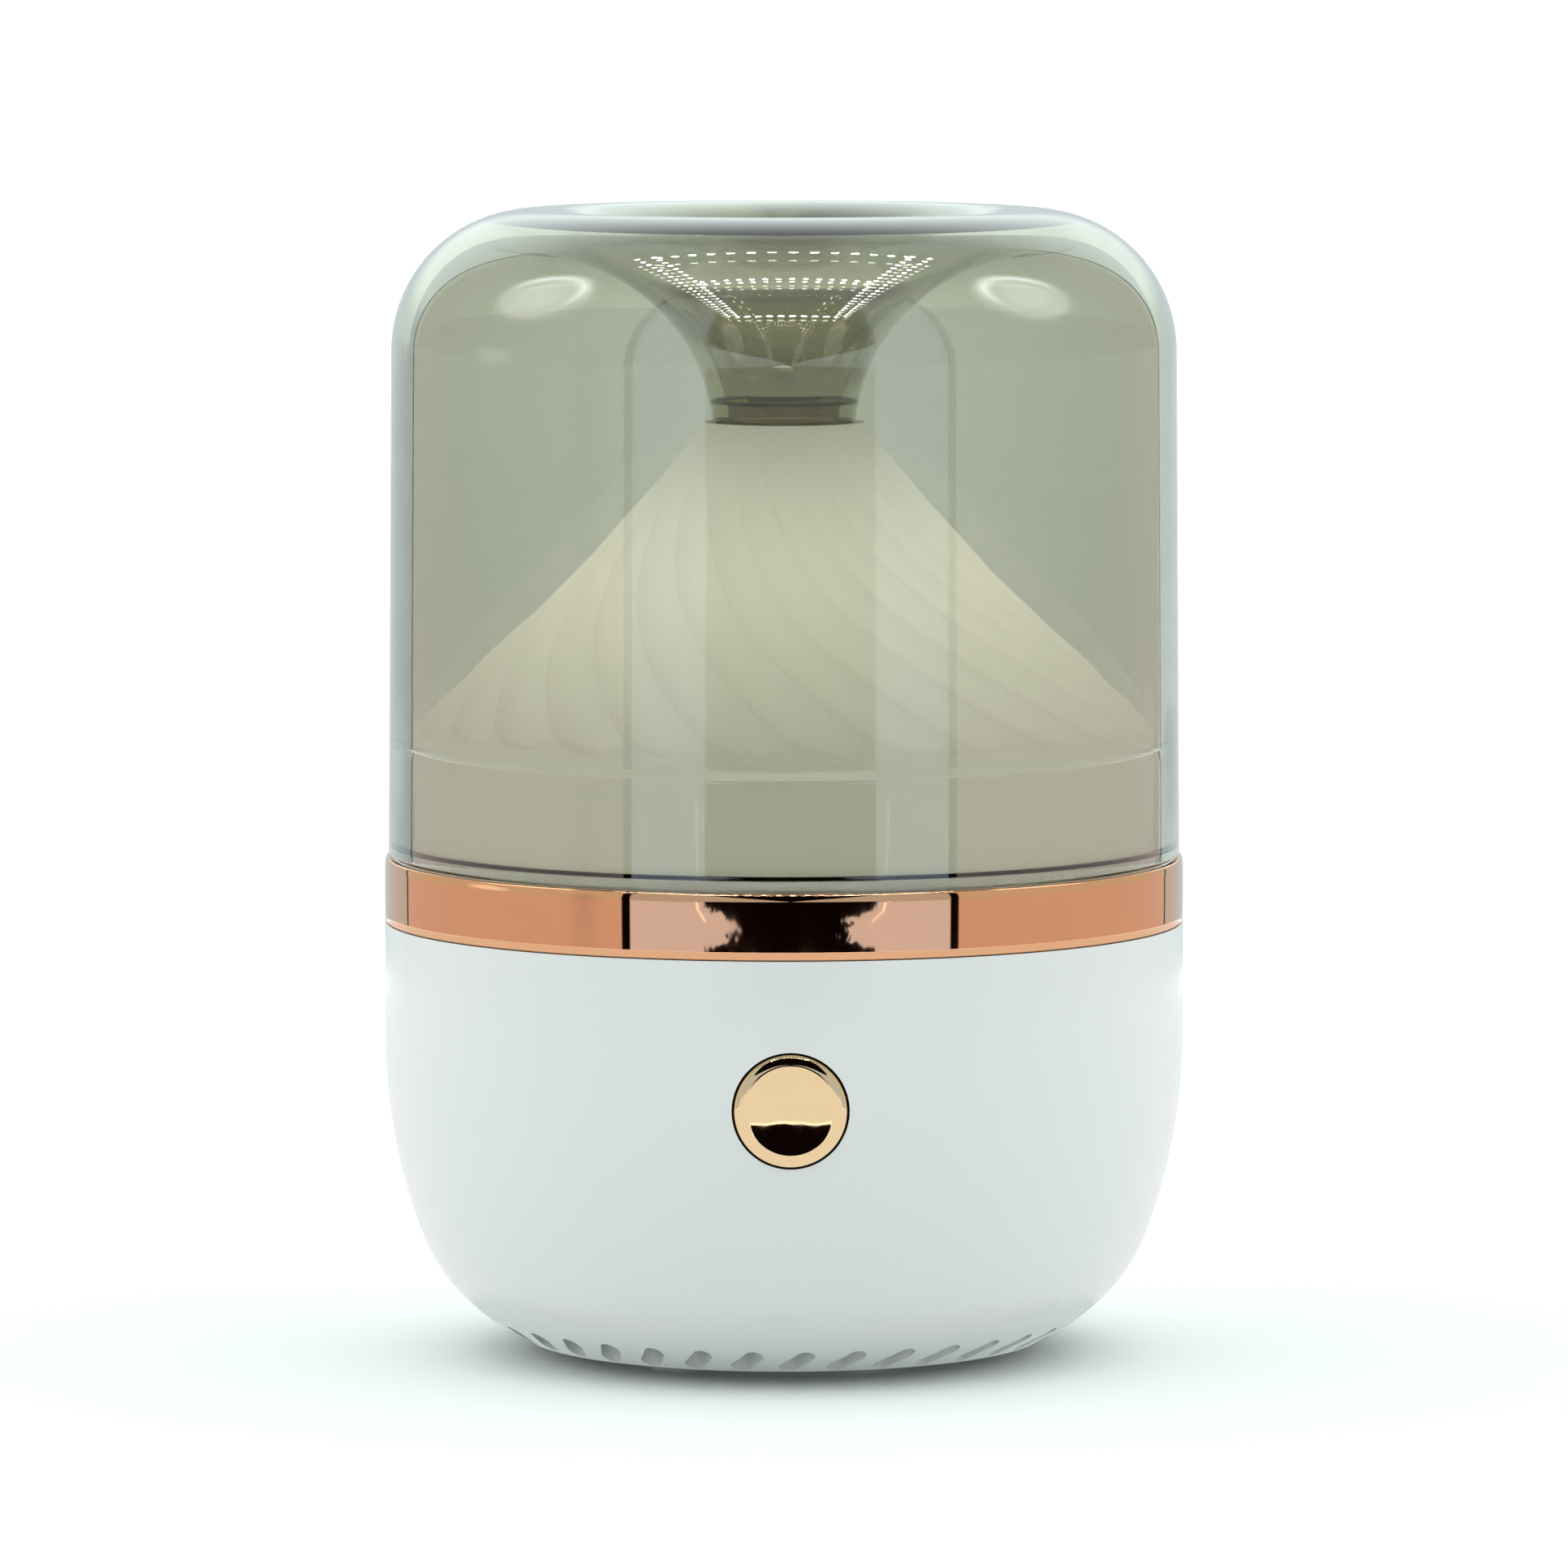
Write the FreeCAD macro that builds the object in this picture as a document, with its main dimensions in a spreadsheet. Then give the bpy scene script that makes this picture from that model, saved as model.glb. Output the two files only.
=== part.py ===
"""Ultrasonic essential oil diffuser: clear dome cover with a trumpet funnel, fluted mist guide, white bowl
base with a gold trim ring and one gold button, and the mist, light, fan and power pieces inside the base.

Frame: millimetres, +Z up, origin on the standing surface at the middle of the base, button facing -Y.
Angles round the base are counted from the front (-Y) towards +X.
"""
import FreeCAD
import Part
import math
import os
import Sketcher

os.makedirs("parts", exist_ok=True)
doc = FreeCAD.newDocument("diffuser")
sheet = doc.addObject("Spreadsheet::Sheet", "Dims")
V = FreeCAD.Vector
DEGREES_PER_RADIAN = 57.3

# ---------------------------------------------------------------- driving dimensions

DRIVING = {
    # base shell
    "base_radius": 50.0,
    "base_top": 54.0,
    "edge_height": 1.5,
    "edge_radius": 32.4,
    "side_start": 39.5,
    "side_arc": 69.8,
    "side_turn": 20.5,
    "heel_arc": 22.5,
    "heel_turn": 60.0,
    "shell_wall": 2.2,
    "opening_radius": 27.5,
    "ledge_top": 52.6,
    "ledge_depth": 2.2,
    "ledge_thickness": 1.2,
    "post_radius": 2.4,
    "post_hole_depth": 8.0,
    "lid_boss_radius": 2.8,
    "lid_boss_height": 8.3,
    "lid_hole_depth": 8.4,
    "web_half_width": 1.5,
    "web_height": 5.0,
    # spiral vents in the base's lower edge
    "vent_count": 36,
    "vent_outer": 36.4,
    "vent_inner": 33.9,
    "vent_lean": 1.8,
    "vent_half_width": 1.2,
    "vent_ceiling": 5.2,
    "vent_phase": 3.2,
    # trim ring
    "ring_top": 62.2,
    "ring_inner": 48.6,
    "ring_round": 0.8,
    "flange_bottom": 54.4,
    "flange_top": 55.6,
    "flange_inner": 46.9,
    # dome cover
    "cover_bottom": 62.5,
    "cover_radius": 49.5,
    "shoulder_height": 125.3,
    "shoulder_radius": 49.0,
    "shoulder_arc": 17.7,
    "cover_wall": 2.3,
    "cover_draft": 0.2,
    "inner_crest_run": 5.4,
    "inner_crest_rise": 14.4,
    "lip_bottom": 58.6,
    "lip_inner": 47.3,
    "lip_outer": 48.3,
    "step_height": 63.8,
    "funnel_centre": 35.5,
    "funnel_height": 113.0,
    "funnel_arc": 28.9,
    "funnel_wall": 2.1,
    "funnel_join": 49.4,
    "throat_turn": 82.0,
    "throat_end": 116.7,
    # mist guide
    "flute_count": 28,
    "flute_depth": 0.7,
    "flute_swirl": 1.63,
    "guide_radius": 46.3,
    "guide_wall": 1.6,
    "guide_foot": 62.0,
    "guide_shoulder": 78.6,
    "guide_top": 116.4,
    "flute_phase": 2.0,
    "tenon_radius": 44.6,
    "tenon_inner": 43.2,
    "tenon_bottom": 57.5,
    # water tank
    "tank_mouth": 44.9,
    "tank_rim_radius": 46.6,
    "tank_rim_top": 61.7,
    "tank_radius": 37.0,
    "tank_wall": 1.8,
    "tank_floor": 31.0,
    "tank_floor_thickness": 2.0,
    "tank_flange_radius": 47.6,
    "tank_flare": 8.3,
    "tank_floor_round": 5.0,
    "rim_ledge": 0.6,
    "well_bevel": 1.5,
    "well_radius": 8.0,
    "seat_radius": 11.0,
    "seat_top": 28.0,
    "boss_radius": 15.0,
    "boss_bottom": 25.6,
    "duct_y": 26.0,
    "duct_radius": 6.0,
    "duct_bore": 4.8,
    "duct_bottom": 27.0,
    "duct_top": 50.0,
    # ultrasonic disc
    "disc_radius": 9.9,
    "disc_bottom": 26.6,
    "disc_thickness": 0.6,
    "retainer_thickness": 1.6,
    "retainer_hole": 7.0,
    "retainer_pitch": 13.0,
    # light board
    "light_inner": 18.0,
    "light_outer": 25.0,
    "light_bottom": 26.6,
    "light_thickness": 1.2,
    "light_pitch": 21.5,
    # fan
    "fan_half": 15.0,
    "fan_bottom": 4.7,
    "fan_height": 8.0,
    "fan_bore": 14.0,
    "fan_pitch": 12.0,
    "hub_radius": 7.5,
    "blade_radius": 13.4,
    "blade_count": 7,
    "shaft_radius": 1.0,
    "running_gap": 0.05,
    # main board
    "board_radius": 34.0,
    "board_hole": 12.0,
    "board_bottom": 17.0,
    "board_thickness": 1.6,
    "board_post_pitch": 30.0,
    # power socket
    "jack_height": 23.6,
    "jack_hole": 4.6,
    "jack_collar": 4.4,
    "jack_bore": 2.8,
    "jack_pin": 1.0,
    # button and its switch
    "button_height": 35.8,
    "button_radius": 6.85,
    "button_hole": 7.15,
    "button_front": 49.95,
    "button_round": 2.65,
    "button_round_start": 5.5,
    "button_round_drop": 0.37,
    "dish_radius": 5.1,
    "dish_depth": 0.16,
    "dish_arc": 82.0,
    "button_stub": 2.5,
    "button_flange": 8.2,
    "button_flange_front": 46.6,
    "button_flange_back": 45.4,
    "switch_back": 40.3,
    "switch_front": 43.3,
    "plunger_tip": 44.3,
    "plunger_radius": 1.7,
    "button_board_thickness": 1.2,
    "rail_inner": 9.2,
    "rail_outer": 11.7,
    "rail_bottom": 29.0,
    "rail_height": 14.5,
    "rail_front": -47.4,
    "rail_lip": 0.9,
    "groove_depth": 1.2,
    "groove_play": 0.05,
    # bottom cover, feet and screws
    "lid_radius": 27.2,
    "lid_thickness": 2.2,
    "foot_radius": 3.8,
    "foot_pitch": 22.6,
    "foot_boss": 4.8,
    "foot_angle": -35.0,
    "lid_screw_pitch": 23.0,
    "screw_angle": 25.0,
    "board_screw_radius": 1.1,
    "small_screw_radius": 0.9,
    "pilot_gap": 0.05,
    "lead_radius": 0.8,
}


class Size:
    """A number that carries the sheet expression it comes from."""

    def __init__(self, value, text):
        self.value = value
        self.text = text

    def join(self, sign, other, value):
        return Size(value, f"({self.text} {sign} {size_of(other).text})")

    def __add__(self, other):
        return self.join("+", other, self.value + size_of(other).value)

    def __sub__(self, other):
        return self.join("-", other, self.value - size_of(other).value)

    def __mul__(self, other):
        return self.join("*", other, self.value * size_of(other).value)

    def __truediv__(self, other):
        return self.join("/", other, self.value / size_of(other).value)

    def __neg__(self):
        return Size(-self.value, f"(0 - {self.text})")

    def __radd__(self, other):
        return size_of(other) + self

    def __rsub__(self, other):
        return size_of(other) - self

    def __rmul__(self, other):
        return size_of(other) * self


def size_of(number):
    """A plain number becomes a Size of itself."""
    if isinstance(number, Size):
        return number
    return Size(float(number), repr(float(number)))


def cosine(angle):
    angle = size_of(angle)
    return Size(math.cos(math.radians(angle.value)), f"cos({angle.text} * 1 deg)")


def sine(angle):
    angle = size_of(angle)
    return Size(math.sin(math.radians(angle.value)), f"sin({angle.text} * 1 deg)")


def fill_sheet():
    """Write each driving dimension on a row of its own and return them as Sizes."""
    sizes = {}
    for row, (alias, value) in enumerate(DRIVING.items(), start=1):
        sheet.set(f"A{row}", alias)
        sheet.set(f"B{row}", str(value))
        sheet.setAlias(f"B{row}", alias)
        sizes[alias] = Size(value, f"Dims.{alias}")
    doc.recompute()
    return sizes


D = fill_sheet()


def around(pitch, angle):
    """The place at this pitch radius and angle round the base."""
    return pitch * sine(angle), -(pitch * cosine(angle))


# ---------------------------------------------------------------- drawing helpers


def origin_part(body, role):
    return [part for part in body.Origin.OriginFeatures if part.Role == role][0]


def new_body(label):
    body = doc.addObject("PartDesign::Body", label)
    body.Label = label
    return body


def new_sketch(body, name, role="XY_Plane", lift=None):
    """A sketch on one of the body's own planes, lifted along the plane's normal."""
    sketch = body.newObject("Sketcher::SketchObject", name)
    sketch.AttachmentSupport = [(origin_part(body, role), "")]
    sketch.MapMode = "FlatFace"
    if lift is not None:
        sketch.setExpression("AttachmentOffset.Base.z", size_of(lift).text)
    return sketch


def pin_point(sketch, geometry, point, x, y):
    """Hold a point of the sketch at a place given from the sketch's origin."""
    for kind, number, axis in (("DistanceX", size_of(x), -2), ("DistanceY", size_of(y), -1)):
        if number.value == 0:
            sketch.addConstraint(Sketcher.Constraint("PointOnObject", geometry, point, axis))
        elif number.value > 0:
            index = sketch.addConstraint(
                Sketcher.Constraint(kind, -1, 1, geometry, point, number.value))
            sketch.setExpression(f"Constraints[{index}]", number.text)
        else:
            index = sketch.addConstraint(
                Sketcher.Constraint(kind, geometry, point, -1, 1, -number.value))
            sketch.setExpression(f"Constraints[{index}]", (-number).text)


def hold_radius(sketch, geometry, radius):
    index = sketch.addConstraint(Sketcher.Constraint("Radius", geometry, radius.value))
    sketch.setExpression(f"Constraints[{index}]", radius.text)


def arc_between(start, end, radius, left):
    """The short arc from start to end, its centre left or right of the way, and which end comes first."""
    chord = end - start
    middle = (start + end) * 0.5
    normal = V(-chord.y, chord.x, 0).normalize()
    reach = math.sqrt(max(radius ** 2 - (chord.Length / 2) ** 2, 0))
    centre = middle + normal * (reach if left else -reach)
    angles = [math.atan2(point.y - centre.y, point.x - centre.x) for point in (start, end)]
    circle = Part.Circle(centre, V(0, 0, 1), radius)
    if left:
        return Part.ArcOfCircle(circle, angles[0], angles[1]), 1
    return Part.ArcOfCircle(circle, angles[1], angles[0]), 2


def outline(sketch, corners):
    """A closed outline. A corner is (x, y), or (x, y, radius, left) where the edge after it is an arc."""
    spots = [V(size_of(corner[0]).value, size_of(corner[1]).value, 0) for corner in corners]
    ends = []
    for index, corner in enumerate(corners):
        start, end = spots[index], spots[(index + 1) % len(spots)]
        if len(corner) == 2:
            ends.append((sketch.addGeometry(Part.LineSegment(start, end), False), 1, 2))
        else:
            radius = size_of(corner[2])
            arc, first = arc_between(start, end, radius.value, corner[3])
            geometry = sketch.addGeometry(arc, False)
            hold_radius(sketch, geometry, radius)
            ends.append((geometry, first, 3 - first))
    for index, (geometry, first, last) in enumerate(ends):
        following = ends[(index + 1) % len(ends)]
        sketch.addConstraint(
            Sketcher.Constraint("Coincident", geometry, last, following[0], following[1]))
    for (geometry, first, last), corner in zip(ends, corners):
        pin_point(sketch, geometry, first, corner[0], corner[1])


def ring_outline(sketch, x, y, radius):
    radius = size_of(radius)
    spot = V(size_of(x).value, size_of(y).value, 0)
    geometry = sketch.addGeometry(Part.Circle(spot, V(0, 0, 1), radius.value), False)
    hold_radius(sketch, geometry, radius)
    pin_point(sketch, geometry, 3, x, y)


def slot_outline(sketch, start, end, half_width):
    """A slot with round ends about two centres."""
    spots = [V(size_of(x).value, size_of(y).value, 0) for x, y in (start, end)]
    along = (spots[1] - spots[0]).normalize()
    side = V(-along.y, along.x, 0) * half_width.value
    angle = math.atan2(along.y, along.x)
    caps = []
    for spot, turn in ((spots[0], math.pi / 2), (spots[1], -math.pi / 2)):
        circle = Part.Circle(spot, V(0, 0, 1), half_width.value)
        caps.append(sketch.addGeometry(
            Part.ArcOfCircle(circle, angle + turn, angle + turn + math.pi), False))
    right = sketch.addGeometry(Part.LineSegment(spots[0] - side, spots[1] - side), False)
    left = sketch.addGeometry(Part.LineSegment(spots[1] + side, spots[0] + side), False)
    links = ((caps[0], 2, right, 1), (right, 2, caps[1], 1), (caps[1], 2, left, 1), (left, 2, caps[0], 1))
    for link in links:
        sketch.addConstraint(Sketcher.Constraint("Tangent", *link))
    hold_radius(sketch, caps[0], half_width)
    pin_point(sketch, caps[0], 3, *start)
    pin_point(sketch, caps[1], 3, *end)


def revolve(body, corners, name):
    """A solid of revolution about Z from an outline of (radius, height) corners."""
    sketch = new_sketch(body, name + "_profile", "XZ_Plane")
    outline(sketch, corners)
    feature = body.newObject("PartDesign::Revolution", name)
    feature.Profile = sketch
    feature.ReferenceAxis = (sketch, ["V_Axis"])
    feature.Angle = 360
    body.Tip = feature
    doc.recompute()
    return feature


def extrude(body, kind, sketch, length, name, backwards=False):
    """A Pad or Pocket of a sketch that must change the body's volume the right way."""
    before = 0 if body.Shape.isNull() else body.Shape.Volume
    feature = body.newObject("PartDesign::" + kind, name)
    feature.Profile = sketch
    feature.setExpression("Length", size_of(length).text)
    feature.Reversed = backwards
    body.Tip = feature
    doc.recompute()
    change = body.Shape.Volume - before
    if (change > 0) != (kind == "Pad") or abs(change) < 1e-3:
        raise RuntimeError(f"{name} changes the volume by {change}")
    return feature


def repeat(body, feature, count, name):
    """Repeat a feature evenly all the way round Z."""
    pattern = body.newObject("PartDesign::PolarPattern", name)
    pattern.Originals = [feature]
    pattern.Axis = (origin_part(body, "Z_Axis"), [""])
    pattern.Angle = 360
    if isinstance(count, Size):
        pattern.setExpression("Occurrences", count.text)
    else:
        pattern.Occurrences = count
    body.Tip = pattern
    doc.recompute()
    return pattern


def place(item, x, y, z):
    for axis, number in zip("xyz", (x, y, z)):
        item.setExpression(f"Placement.Base.{axis}", size_of(number).text)


def cylinder(label, radius, length, x=0, y=0, z=0, axis="Z"):
    """A cylinder that starts at a place and runs along +Z, +Y or -Y."""
    item = doc.addObject("Part::Cylinder", label)
    item.setExpression("Radius", size_of(radius).text)
    item.setExpression("Height", size_of(length).text)
    turns = {"Z": 0, "+Y": -90, "-Y": 90}
    item.Placement = FreeCAD.Placement(V(0, 0, 0), FreeCAD.Rotation(V(1, 0, 0), turns[axis]))
    place(item, x, y, z)
    return item


def block(label, low, high):
    """A box between two corners."""
    item = doc.addObject("Part::Box", label)
    for side, low_end, high_end in zip(("Length", "Width", "Height"), low, high):
        item.setExpression(side, (size_of(high_end) - low_end).text)
    place(item, *low)
    return item


def cut(label, base, tool):
    item = doc.addObject("Part::Cut", label)
    item.Base = base
    item.Tool = tool
    return item


def join(label, pieces):
    item = doc.addObject("Part::MultiFuse", label)
    item.Shapes = pieces
    return item


def gather(label, pieces):
    """Separate solids that share one node."""
    item = doc.addObject("Part::Compound", label)
    item.Links = pieces
    return item


def tube(label, outer, inner, bottom, top, x=0, y=0):
    outside = cylinder(label + "_outside", outer, size_of(top) - bottom, x, y, bottom)
    inside = cylinder(label + "_inside", inner, size_of(top) - bottom + 2, x, y, size_of(bottom) - 1)
    return cut(label, outside, inside)


def screw(label, x, y, head_bottom, head_top, head_radius, shaft_end, shaft_radius):
    """A pan head screw with a cross slot; the shaft ends on the far side of the head."""
    upwards = size_of(shaft_end).value > size_of(head_top).value
    shaft_low = head_top if upwards else shaft_end
    shaft_high = shaft_end if upwards else head_bottom
    head = cylinder(label + "_head", head_radius, size_of(head_top) - head_bottom, x, y, head_bottom)
    shaft = cylinder(label + "_shaft", shaft_radius, size_of(shaft_high) - shaft_low, x, y, shaft_low)
    slot_low = size_of(head_bottom) - 0.1 if upwards else size_of(head_top) - 0.5
    slots = []
    for index, (reach_x, reach_y) in enumerate(((1.1, 0.25), (0.25, 1.1))):
        low = (x - reach_x, y - reach_y, slot_low)
        high = (x + reach_x, y + reach_y, slot_low + 0.6)
        slots.append(block(f"{label}_slot_{index}", low, high))
    return cut(label, join(label + "_blank", [head, shaft]), join(label + "_cross", slots))


nodes = {}


def node(name, item):
    """Give the finished sub-part its label, which names its file."""
    item.Label = name
    nodes[name] = item


# ---------------------------------------------------------------- base shell and trim ring


def shell_outline():
    """The bowl's section: upright side, long side arc, heel arc, then a straight slope to the bottom edge."""
    wall = D["shell_wall"]
    side_x = D["base_radius"] - D["side_arc"]
    heel_x = side_x + (D["side_arc"] - D["heel_arc"]) * cosine(D["side_turn"])
    heel_z = D["side_start"] - (D["side_arc"] - D["heel_arc"]) * sine(D["side_turn"])

    def on_side(radius):
        return side_x + radius * cosine(D["side_turn"]), D["side_start"] - radius * sine(D["side_turn"])

    def on_heel(radius):
        return heel_x + radius * cosine(D["heel_turn"]), heel_z - radius * sine(D["heel_turn"])

    inside = D["base_radius"] - wall
    floor = D["edge_height"] + wall
    heel_inside = on_heel(D["heel_arc"] - wall)
    slope = sine(D["heel_turn"]) / cosine(D["heel_turn"])
    floor_edge = heel_inside[0] - (heel_inside[1] - floor) * slope
    ledge_inner = inside - D["ledge_depth"]
    return [
        (D["base_radius"], D["base_top"]),
        (inside, D["base_top"]),
        (inside, D["ledge_top"]),
        (ledge_inner, D["ledge_top"]),
        (ledge_inner, D["ledge_top"] - D["ledge_thickness"]),
        (inside, D["ledge_top"] - D["ledge_thickness"] - D["ledge_depth"]),
        (inside, D["side_start"], D["side_arc"] - wall, False),
        (*on_side(D["side_arc"] - wall), D["heel_arc"] - wall, False),
        heel_inside,
        (floor_edge, floor),
        (D["opening_radius"], floor),
        (D["opening_radius"], D["edge_height"]),
        (D["edge_radius"], D["edge_height"]),
        (*on_heel(D["heel_arc"]), D["heel_arc"], True),
        (*on_side(D["side_arc"]), D["side_arc"], True),
        (D["base_radius"], D["side_start"]),
    ]


def base_shell():
    body = new_body("base_shell")
    revolve(body, shell_outline(), "bowl")
    floor = D["edge_height"] + D["shell_wall"]

    # posts for the main board, and bosses for the bottom cover's screws with a web back to the floor ring
    posts = new_sketch(body, "post_profile", "XY_Plane", floor)
    ring_outline(posts, *around(D["board_post_pitch"], D["screw_angle"]), D["post_radius"])
    post = extrude(body, "Pad", posts, D["board_bottom"] - floor, "post")
    repeat(body, post, 3, "posts")
    bosses = new_sketch(body, "boss_profile", "XY_Plane", floor)
    ring_outline(bosses, *around(D["lid_screw_pitch"], D["screw_angle"]), D["lid_boss_radius"])
    boss = extrude(body, "Pad", bosses, D["lid_boss_height"], "boss")
    repeat(body, boss, 3, "bosses")
    webs = new_sketch(body, "web_profile", "XY_Plane", floor)
    near = around(D["lid_screw_pitch"], D["screw_angle"])
    far = around(D["board_post_pitch"], D["screw_angle"])
    slot_outline(webs, near, far, D["web_half_width"])
    web = extrude(body, "Pad", webs, D["web_height"], "web")
    repeat(body, web, 3, "webs")

    # pilot holes for both rings of screws
    for name, pitch, length, top in (
            ("post_hole", D["board_post_pitch"], D["post_hole_depth"], D["board_bottom"]),
            ("boss_hole", D["lid_screw_pitch"], D["lid_hole_depth"], floor)):
        holes = new_sketch(body, name + "_profile", "XY_Plane", top)
        ring_outline(holes, *around(pitch, D["screw_angle"]), D["board_screw_radius"] + D["pilot_gap"])
        hole = extrude(body, "Pocket", holes, length, name, backwards=(name == "boss_hole"))
        repeat(body, hole, 3, name + "s")

    # spiral vents through the lower edge
    vents = new_sketch(body, "vent_profile", "XY_Plane")
    outer_x, outer_y = around(D["vent_outer"], D["vent_phase"])
    lean_angle = D["vent_phase"] - D["vent_lean"] / D["vent_inner"] * DEGREES_PER_RADIAN
    inner_x, inner_y = around(D["vent_inner"], lean_angle)
    slot_outline(vents, (inner_x, inner_y), (outer_x, outer_y), D["vent_half_width"])
    vent = extrude(body, "Pocket", vents, D["vent_ceiling"], "vent", backwards=True)
    repeat(body, vent, D["vent_count"], "vents")

    # rails that hold the button board by its edges
    for side, name in ((-1, "rail_left"), (1, "rail_right")):
        rails = new_sketch(body, name + "_profile", "XY_Plane", D["rail_bottom"])
        groove_front = -D["switch_back"] - D["groove_play"]
        groove_back = groove_front + D["button_board_thickness"] + D["groove_play"] * 2
        corners = [
            (D["rail_inner"] * side, D["rail_front"]),
            (D["rail_outer"] * side, D["rail_front"]),
            (D["rail_outer"] * side, groove_back + D["rail_lip"]),
            (D["rail_inner"] * side, groove_back + D["rail_lip"]),
            (D["rail_inner"] * side, groove_back),
            ((D["rail_inner"] + D["groove_depth"]) * side, groove_back),
            ((D["rail_inner"] + D["groove_depth"]) * side, groove_front),
            (D["rail_inner"] * side, groove_front),
        ]
        outline(rails, corners)
        extrude(body, "Pad", rails, D["rail_height"], name)

    # the button's hole in front and the power socket's hole at the back
    for name, height, radius, backwards in (
            ("button_opening", D["button_height"], D["button_hole"], True),
            ("socket_opening", D["jack_height"], D["jack_hole"], False)):
        hole = new_sketch(body, name + "_profile", "XZ_Plane")
        ring_outline(hole, 0, height, radius)
        extrude(body, "Pocket", hole, 60, name, backwards)
    node("base_shell", body)


def trim_ring():
    body = new_body("trim_ring")
    bevel = D["ring_round"]
    revolve(body, [
        (D["base_radius"] - bevel, D["base_top"], bevel, True),
        (D["base_radius"], D["base_top"] + bevel),
        (D["base_radius"], D["ring_top"] - bevel, bevel, True),
        (D["base_radius"] - bevel, D["ring_top"]),
        (D["ring_inner"], D["ring_top"]),
        (D["ring_inner"], D["flange_top"]),
        (D["flange_inner"], D["flange_top"]),
        (D["flange_inner"], D["flange_bottom"]),
        (D["ring_inner"], D["flange_bottom"]),
        (D["ring_inner"], D["base_top"]),
    ], "band")
    node("trim_ring", body)


# ---------------------------------------------------------------- dome cover and mist guide


def cover_dome():
    """Dome, rounded crest, trumpet funnel and throat in one clear moulding."""
    body = new_body("cover_dome")
    wall = D["cover_wall"]
    crest_x = D["shoulder_radius"] - D["shoulder_arc"]
    crest_z = D["shoulder_height"] + D["shoulder_arc"]
    join_sine, join_cosine = sine(D["funnel_join"]), cosine(D["funnel_join"])
    end_sine, end_cosine = sine(D["throat_turn"]), cosine(D["throat_turn"])
    under = D["funnel_arc"] - D["funnel_wall"]
    inner_crest_x = D["shoulder_radius"] - D["shoulder_arc"] + D["inner_crest_run"]
    inner_crest_z = D["shoulder_height"] + D["inner_crest_rise"]
    throat_out = D["funnel_centre"] - under * end_sine
    revolve(body, [
        (D["cover_radius"], D["cover_bottom"]),
        (D["shoulder_radius"], D["shoulder_height"], D["shoulder_arc"], True),
        (crest_x, crest_z, D["shoulder_arc"], True),
        (crest_x - D["shoulder_arc"] * join_sine, D["shoulder_height"] + D["shoulder_arc"] * join_cosine),
        (D["funnel_centre"] - D["funnel_arc"] * join_sine,
         D["funnel_height"] + D["funnel_arc"] * join_cosine, D["funnel_arc"], True),
        (D["funnel_centre"] - D["funnel_arc"] * end_sine, D["funnel_height"] + D["funnel_arc"] * end_cosine),
        (D["funnel_centre"] - D["funnel_arc"] * end_sine, D["throat_end"]),
        (throat_out, D["throat_end"]),
        (throat_out, D["funnel_height"] + under * end_cosine, under, False),
        (inner_crest_x, inner_crest_z, D["shoulder_arc"] - wall, False),
        (D["shoulder_radius"] - wall, D["shoulder_height"]),
        (D["cover_radius"] - wall - D["cover_draft"], D["step_height"]),
        (D["lip_inner"], D["step_height"]),
        (D["lip_inner"], D["lip_bottom"]),
        (D["lip_outer"], D["lip_bottom"]),
        (D["lip_outer"], D["cover_bottom"]),
    ], "dome")
    node("cover_dome", body)


def fade(value):
    """0 below 0, 1 above 1, smooth between."""
    value = min(max(value, 0.0), 1.0)
    return value * value * (3 - 2 * value)


def skin_turn(radius):
    """How far the skin has turned at a radius: a ridge lies at the flute phase on the rim and swirls on."""
    return math.radians(D["flute_swirl"].value * (radius - D["guide_radius"].value) + D["flute_phase"].value)


def wavy_ring(radius, height):
    """Control points of one closed loop of the guide's skin, with a wave for each flute and its swirl."""
    count = int(D["flute_count"].value)
    turn = skin_turn(radius)
    clear_of_rim = fade((D["guide_radius"].value - 0.2 - radius) / 1.5)
    depth = D["flute_depth"].value * fade((radius - 12) / 12) * clear_of_rim
    points = []
    for index in range(4 * count):
        angle = 2 * math.pi * index / (4 * count)
        reach = radius - depth * 0.5 * (1 - math.cos(count * angle))
        points.append(V(reach * math.sin(angle + turn), -reach * math.cos(angle + turn), height))
    curve = Part.BSplineCurve()
    curve.interpolate(Points=points, PeriodicFlag=True, Parameters=[float(n) for n in range(len(points) + 1)])
    return curve


# how far the cone's section has come in and up from the guide's shoulder
CONE_SECTION = [(0, 0), (3.8, 3.6), (9.0, 8.6), (17.4, 16.3), (25.6, 25.0), (34.1, 34.9), (36.3, 37.8)]


def fluted_skin():
    """The guide's outer skin from its shoulder to its top, as one surface through a stack of wavy loops."""
    wide, high = D["guide_radius"].value, D["guide_shoulder"].value
    section = Part.BSplineCurve()
    section.interpolate([V(wide - run, high + rise, 0) for run, rise in CONE_SECTION])
    rings = [wavy_ring(spot.x, spot.y) for spot in section.discretize(18)]
    stations = [float(n) for n in range(len(rings))]
    columns = []
    for stack in zip(*[ring.getPoles() for ring in rings]):
        column = Part.BSplineCurve()
        column.interpolate(Points=list(stack), Parameters=stations)
        columns.append(column)
    loop, rise = rings[0], columns[0]
    skin = Part.BSplineSurface()
    skin.buildFromPolesMultsKnots(
        [column.getPoles() for column in columns], loop.getMultiplicities(), rise.getMultiplicities(),
        loop.getKnots(), rise.getKnots(), True, False, loop.Degree, rise.Degree)
    return skin.toShape()


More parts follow.
